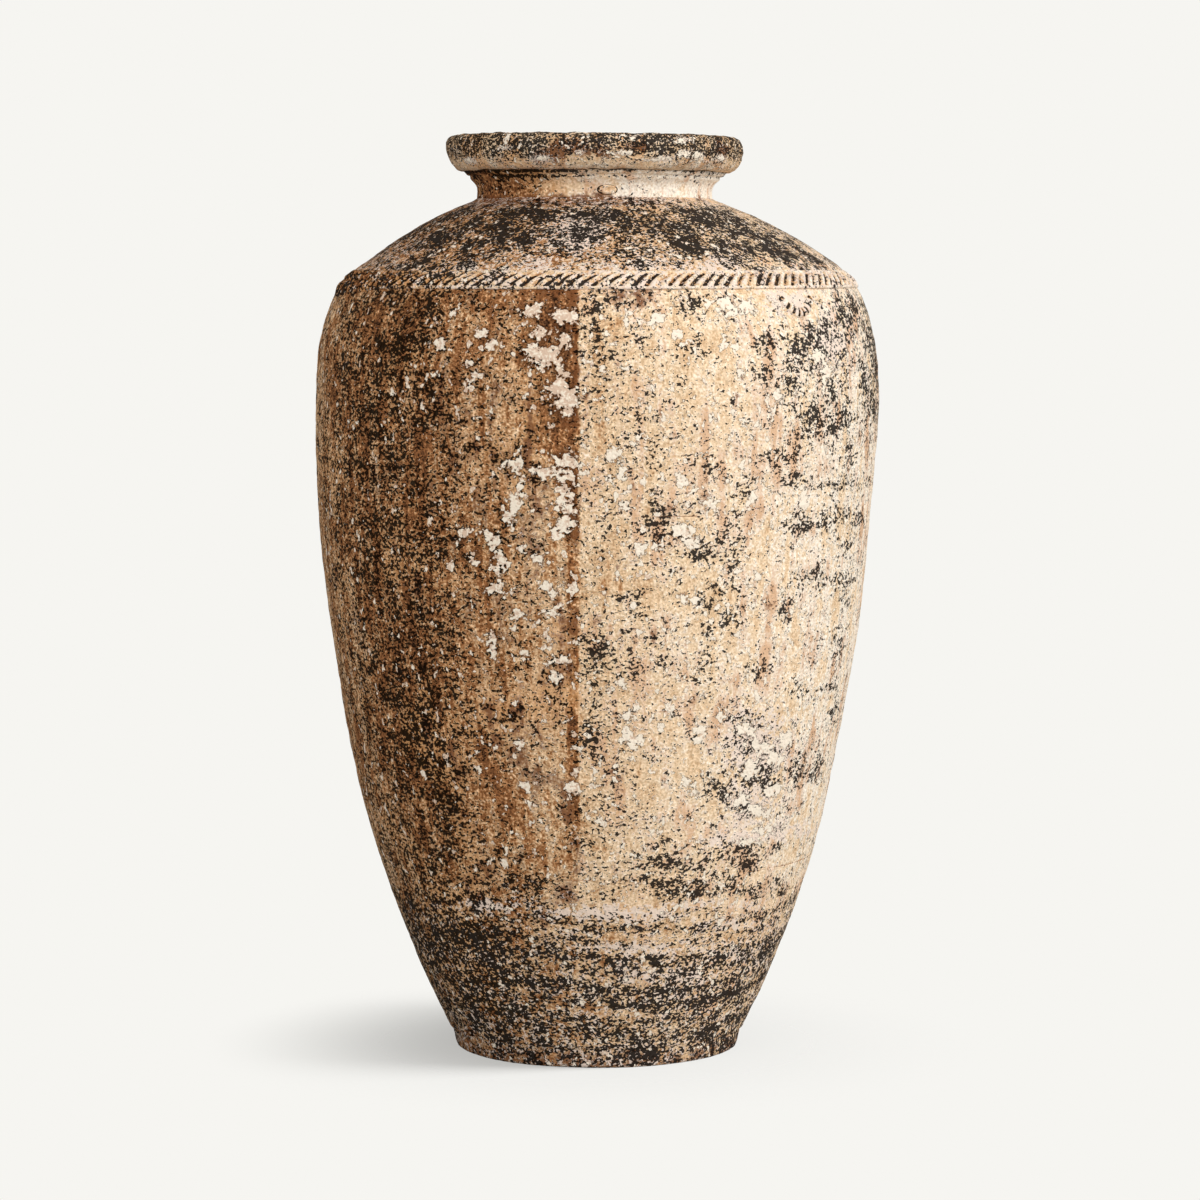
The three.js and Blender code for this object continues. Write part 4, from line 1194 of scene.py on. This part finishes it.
class JAR_OT_shoulder(bpy.types.Operator):
    """Builds the domed shoulder, smoothed up into the foot of the neck"""
    bl_idname = "jar.shoulder"
    bl_label = "Shoulder"

    def execute(self, context):
        form = context.scene.jar_form
        outside, inside = section("shoulder", reach=20 * MM)
        root = np.array(section("neck", corner=100.0)[0][0])
        dome = spline(outside, CLOSE_ROW)
        dome = dome[dome[:, 0] > root[0] + form.fillet]
        bend = root + (0.25 * form.fillet, 0.0)
        top = root + (0.02 * form.fillet, 0.25 * form.fillet)
        t = np.linspace(0, 1, SPLINE_STEPS)[:, None]
        fillet = (1 - t) ** 2 * dome[-1] + 2 * t * (1 - t) * bend + t ** 2 * top
        outside = evenly(np.vstack([dome, fillet[1:], top + (-0.2 * form.fillet, 0.0)]), form.row)
        obj = clay_piece("shoulder", outside, inside, finish("Sooted shoulder slip"))
        place(weather(obj, shoulder_fields), "shoulder", "shoulder_slip")
        return {"FINISHED"}


class JAR_OT_neck(bpy.types.Operator):
    """Builds the collar neck with its turned groove"""
    bl_idname = "jar.neck"
    bl_label = "Neck"

    def execute(self, context):
        outside, inside = section("neck", corner=100.0)
        outside = spline(outside, context.scene.jar_form.fine_row)
        obj = tilted(clay_piece("neck", outside, inside, finish("Cream neck slip")))
        place(weather(obj, neck_fields), "neck", "neck_slip")
        return {"FINISHED"}


class JAR_OT_rim(bpy.types.Operator):
    """Builds the heavy rolled rim"""
    bl_idname = "jar.rim"
    bl_label = "Rolled rim"

    def execute(self, context):
        outside, inside = section("rolled_rim")
        outside = spline(outside, context.scene.jar_form.fine_row)
        obj = tilted(clay_piece("rolled_rim", outside, inside, finish("Dark rim crust"), RIM_LUMP))
        place(weather(obj, rim_fields), "rolled_rim", "rim_crust")
        return {"FINISHED"}


class JAR_OT_cordon(bpy.types.Operator):
    """Builds the rope cordon over the shoulder edge, notched all round with a slanting stick"""
    bl_idname = "jar.cordon"
    bl_label = "Rope cordon"

    def execute(self, context):
        form = context.scene.jar_form
        foot = np.array(section("fourth_lift")[0][-2])
        head = np.array(section("shoulder", reach=20 * MM)[0][1])
        lip = foot + CORDON_LIP
        ridge = foot + CORDON_RIDGE
        swell = (lip + ridge) / 2 + CORDON_SWELL
        points = np.vstack([foot + CORDON_FOOT, lip, swell, ridge, head + CORDON_HEAD])
        outside = spline(points, CORDON_ROW)
        inside = np.array([outside[-1] + CORDON_UNDER, outside[0] + CORDON_BEHIND, outside[0]])

        # The stick presses between the lip and the strip's upper edge, and fades out at both
        t = np.clip((outside[:, 1] - lip[1]) / NOTCH_FADE_LOW, 0, 1)
        u = np.clip((head[1] + NOTCH_TOP - outside[:, 1]) / NOTCH_FADE_HIGH, 0, 1)
        press = t * t * (3 - 2 * t) * u * u * (3 - 2 * u)
        made = section_line("rope_cordon_looks", outside, inside, press)
        length = np.linalg.norm(np.diff(np.vstack([outside, inside]), axis=0), axis=1).sum()
        pitch = 2 * math.pi * ridge[0] / form.notches
        sizes = turned_sizes(finish("Pale cordon slip"))
        sizes.update({"Segments": form.notches * NOTCH_FACES, "Notches": form.notches,
                      "Depth": form.notch_depth, "Slant": NOTCH_LEAN * length / pitch, "Width": NOTCH_HALF})
        obj = sagged(grown(made, cordon_tree(), sizes), lip[1], ridge[1])
        place(weather(obj, band_fields), "rope_cordon", "cordon_clay")
        return {"FINISHED"}


class JAR_OT_swag(bpy.types.Operator):
    """Builds the short notched strip that hangs in a loop under the cordon"""
    bl_idname = "jar.swag"
    bl_label = "Swag strip"

    def execute(self, context):
        form = context.scene.jar_form
        wall = wall_line()
        normal = outward(wall)
        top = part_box("swag_strip")[1][2] - 0.3 * form.swag_width
        u = np.linspace(-1, 1, SWAG_POINTS)
        z = top - form.swag_sag * (1 - u ** 2)
        r = np.interp(z, wall[:, 1], wall[:, 0])
        azimuth = form.swag_azimuth + u * form.swag_span / 2 / r
        turn = np.stack([np.sin(azimuth), -np.cos(azimuth), np.zeros(len(u))], axis=1)
        at = turn * r[:, None] + np.stack([drift(z), 0 * z, z], axis=1)
        out = turn * np.interp(z, wall[:, 1], normal[:, 0])[:, None]
        out[:, 2] = np.interp(z, wall[:, 1], normal[:, 1])
        up = np.cross(out, np.gradient(at, axis=0))
        up /= np.linalg.norm(up, axis=1, keepdims=True)
        made = line_mesh("swag_strip_looks", at, {"outward": out, "upward": up, "end": np.sqrt(1 - u ** 12)})
        obj = grown(made, swag_tree(), {
            "Notches": form.swag_notches, "Depth": SWAG_PRESS * form.swag_proud, "Width": form.swag_width,
            "Proud": form.swag_proud, "Wobble": form.wobble, "Wobble size": form.wobble_size,
            "Finish": finish("Pale cordon slip")})
        place(weather(obj, band_fields), "swag_strip", "cordon_clay")
        return {"FINISHED"}


class JAR_OT_boss(bpy.types.Operator):
    """Builds the small pellet pressed on the front of the neck"""
    bl_idname = "jar.boss"
    bl_label = "Neck pellet"

    def execute(self, context):
        form = context.scene.jar_form
        low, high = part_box("neck_boss")
        z = (low[2] + high[2]) / 2
        radius = section("neck", corner=100.0)[0][0][0]
        turn = form.boss_azimuth
        seat = (radius * math.sin(turn) + float(drift(z)), -radius * math.cos(turn), z)
        made = line_mesh("neck_boss_looks", [(0, 0, 0), (0, 0, 1)], {})
        obj = grown(made, pellet_tree(), {
            "Azimuth": turn, "Seat": seat,
            "Size": (form.boss_width / 2, form.boss_proud, (high[2] - low[2]) / 2),
            "Dent": BOSS_DENT * form.boss_proud, "Finish": finish("Cream neck slip")})
        place(weather(obj, boss_fields), "neck_boss", "neck_slip")
        return {"FINISHED"}


def floor_finish(stage):
    """Pale matt floor that holds the shadow near the jar and melts into the background further out."""
    made = bpy.data.materials.new("Pale studio floor")
    made.use_nodes = True
    tree = made.node_tree
    tree.nodes.clear()
    at = node(tree, "ShaderNodeTexCoord", out="Object")
    reach = node(tree, VECTOR, (at,), out="Value", operation="LENGTH")
    far = node(tree, RANGE, (reach, stage.floor_near, stage.floor_far), **SMOOTH)
    seen = node(tree, "ShaderNodeLightPath", out="Is Camera Ray")
    matt = node(tree, "ShaderNodeBsdfDiffuse", {"Color": (*stage.floor, 1.0)})
    strength = node(tree, MATH, (seen, stage.lift), operation="MULTIPLY")
    glow = node(tree, "ShaderNodeEmission", {"Color": (*stage.backdrop, 1.0), "Strength": strength})
    lit = node(tree, "ShaderNodeAddShader", (matt, glow))
    clear = node(tree, "ShaderNodeBsdfTransparent")
    gone = node(tree, MATH, (far, seen), operation="MULTIPLY")
    mixed = node(tree, "ShaderNodeMixShader", (gone, lit, clear))
    node(tree, "ShaderNodeOutputMaterial", {"Surface": mixed})
    return made


def studio(stage):
    """World that the camera sees as the pale background and that lights softly from all round."""
    world = bpy.data.worlds.new("Studio")
    world.use_nodes = True
    tree = world.node_tree
    tree.nodes.clear()
    path = node(tree, "ShaderNodeLightPath").node.outputs
    seen = node(tree, MATH, (path["Is Camera Ray"], path["Is Glossy Ray"]), operation="ADD")
    seen = node(tree, MATH, (seen, path["Is Transmission Ray"]), operation="ADD", use_clamp=True)
    soft = node(tree, "ShaderNodeBackground", {"Color": (1.0, 1.0, 1.0, 1.0), "Strength": stage.ambient})
    shown = node(tree, "ShaderNodeBackground", {"Color": (*stage.backdrop, 1.0), "Strength": 1.0})
    mixed = node(tree, "ShaderNodeMixShader", (seen, soft, shown))
    node(tree, "ShaderNodeOutputWorld", {"Surface": mixed})
    return world


def soft_light(name, azimuth, rise, spread, power):
    """A broad even light from far off: degrees right of the front, above the floor, and across."""
    lamp = bpy.data.lights.new(name, "SUN")
    lamp.angle = math.radians(spread)
    lamp.energy = power
    made = bpy.data.objects.new(name, lamp)
    made.rotation_euler = (math.radians(90 - rise), 0.0, math.radians(azimuth))
    bpy.context.scene.collection.objects.link(made)
    return made


class JAR_OT_stage(bpy.types.Operator):
    """Sets the floor, the background, the light and the camera"""
    bl_idname = "jar.stage"
    bl_label = "Stage"

    def execute(self, context):
        scene = context.scene
        stage = scene.jar_stage
        turn = np.linspace(0, 2 * math.pi, FLOOR_SIDES, endpoint=False)
        edge = [(FLOOR_RADIUS * math.cos(a), FLOOR_RADIUS * math.sin(a), 0.0) for a in turn]
        mesh = bpy.data.meshes.new("floor")
        mesh.from_pydata(edge, [], [range(len(edge))])
        mesh.materials.append(floor_finish(stage))
        floor = bpy.data.objects.new("floor", mesh)
        scene.collection.objects.link(floor)
        scene.world = studio(stage)
        soft_light("key", *KEY_LIGHT, stage.key)
        soft_light("front", *FRONT_LIGHT, stage.front)

        # This light reaches the floor alone, for the jar's soft shadow on it
        ground = bpy.data.collections.new("ground")
        ground.objects.link(floor)
        shade = soft_light("shade", *FLOOR_LIGHT, stage.shade)
        shade.light_linking.receiver_collection = ground
        lens = bpy.data.cameras.new("camera")
        lens.lens = stage.lens
        lens.sensor_width = FILM
        lens.dof.use_dof = False
        camera = bpy.data.objects.new("camera", lens)
        camera.location = (stage.aside, -stage.distance, stage.height)
        camera.rotation_euler = (math.pi / 2 - stage.pitch, 0.0, 0.0)
        scene.collection.objects.link(camera)
        scene.camera = camera
        scene.view_settings.view_transform = "Standard"
        return {"FINISHED"}


class JAR_PT_panel(bpy.types.Panel):
    """Lists the jar's sizes and colours and the steps that build it"""
    bl_label = "Terracotta jar"
    bl_idname = "JAR_PT_panel"
    bl_space_type = "VIEW_3D"
    bl_region_type = "UI"
    bl_category = "Jar"

    def draw(self, context):
        scene = context.scene
        for held in (scene.jar_form, scene.jar_finish, scene.jar_stage):
            for key in held.__annotations__:
                self.layout.prop(held, key)
        for step in STEPS:
            self.layout.operator(step.bl_idname)


STEPS = (JAR_OT_foot, JAR_OT_lifts, JAR_OT_shoulder, JAR_OT_neck, JAR_OT_rim, JAR_OT_cordon, JAR_OT_swag,
         JAR_OT_boss, JAR_OT_stage)
CLASSES = (JarForm, JarFinish, JarStage) + STEPS + (JAR_PT_panel,)


def register():
    for made in CLASSES:
        bpy.utils.register_class(made)
    bpy.types.Scene.jar_form = PointerProperty(type=JarForm)
    bpy.types.Scene.jar_finish = PointerProperty(type=JarFinish)
    bpy.types.Scene.jar_stage = PointerProperty(type=JarStage)


def unregister():
    del bpy.types.Scene.jar_stage
    del bpy.types.Scene.jar_finish
    del bpy.types.Scene.jar_form
    for made in reversed(CLASSES):
        bpy.utils.unregister_class(made)


def main():
    """Builds every piece and the stage."""
    register()
    bpy.ops.jar.foot()
    bpy.ops.jar.lifts()
    bpy.ops.jar.shoulder()
    bpy.ops.jar.neck()
    bpy.ops.jar.rim()
    bpy.ops.jar.cordon()
    bpy.ops.jar.swag()
    bpy.ops.jar.boss()
    bpy.ops.jar.stage()


if __name__ == "__main__":
    main()
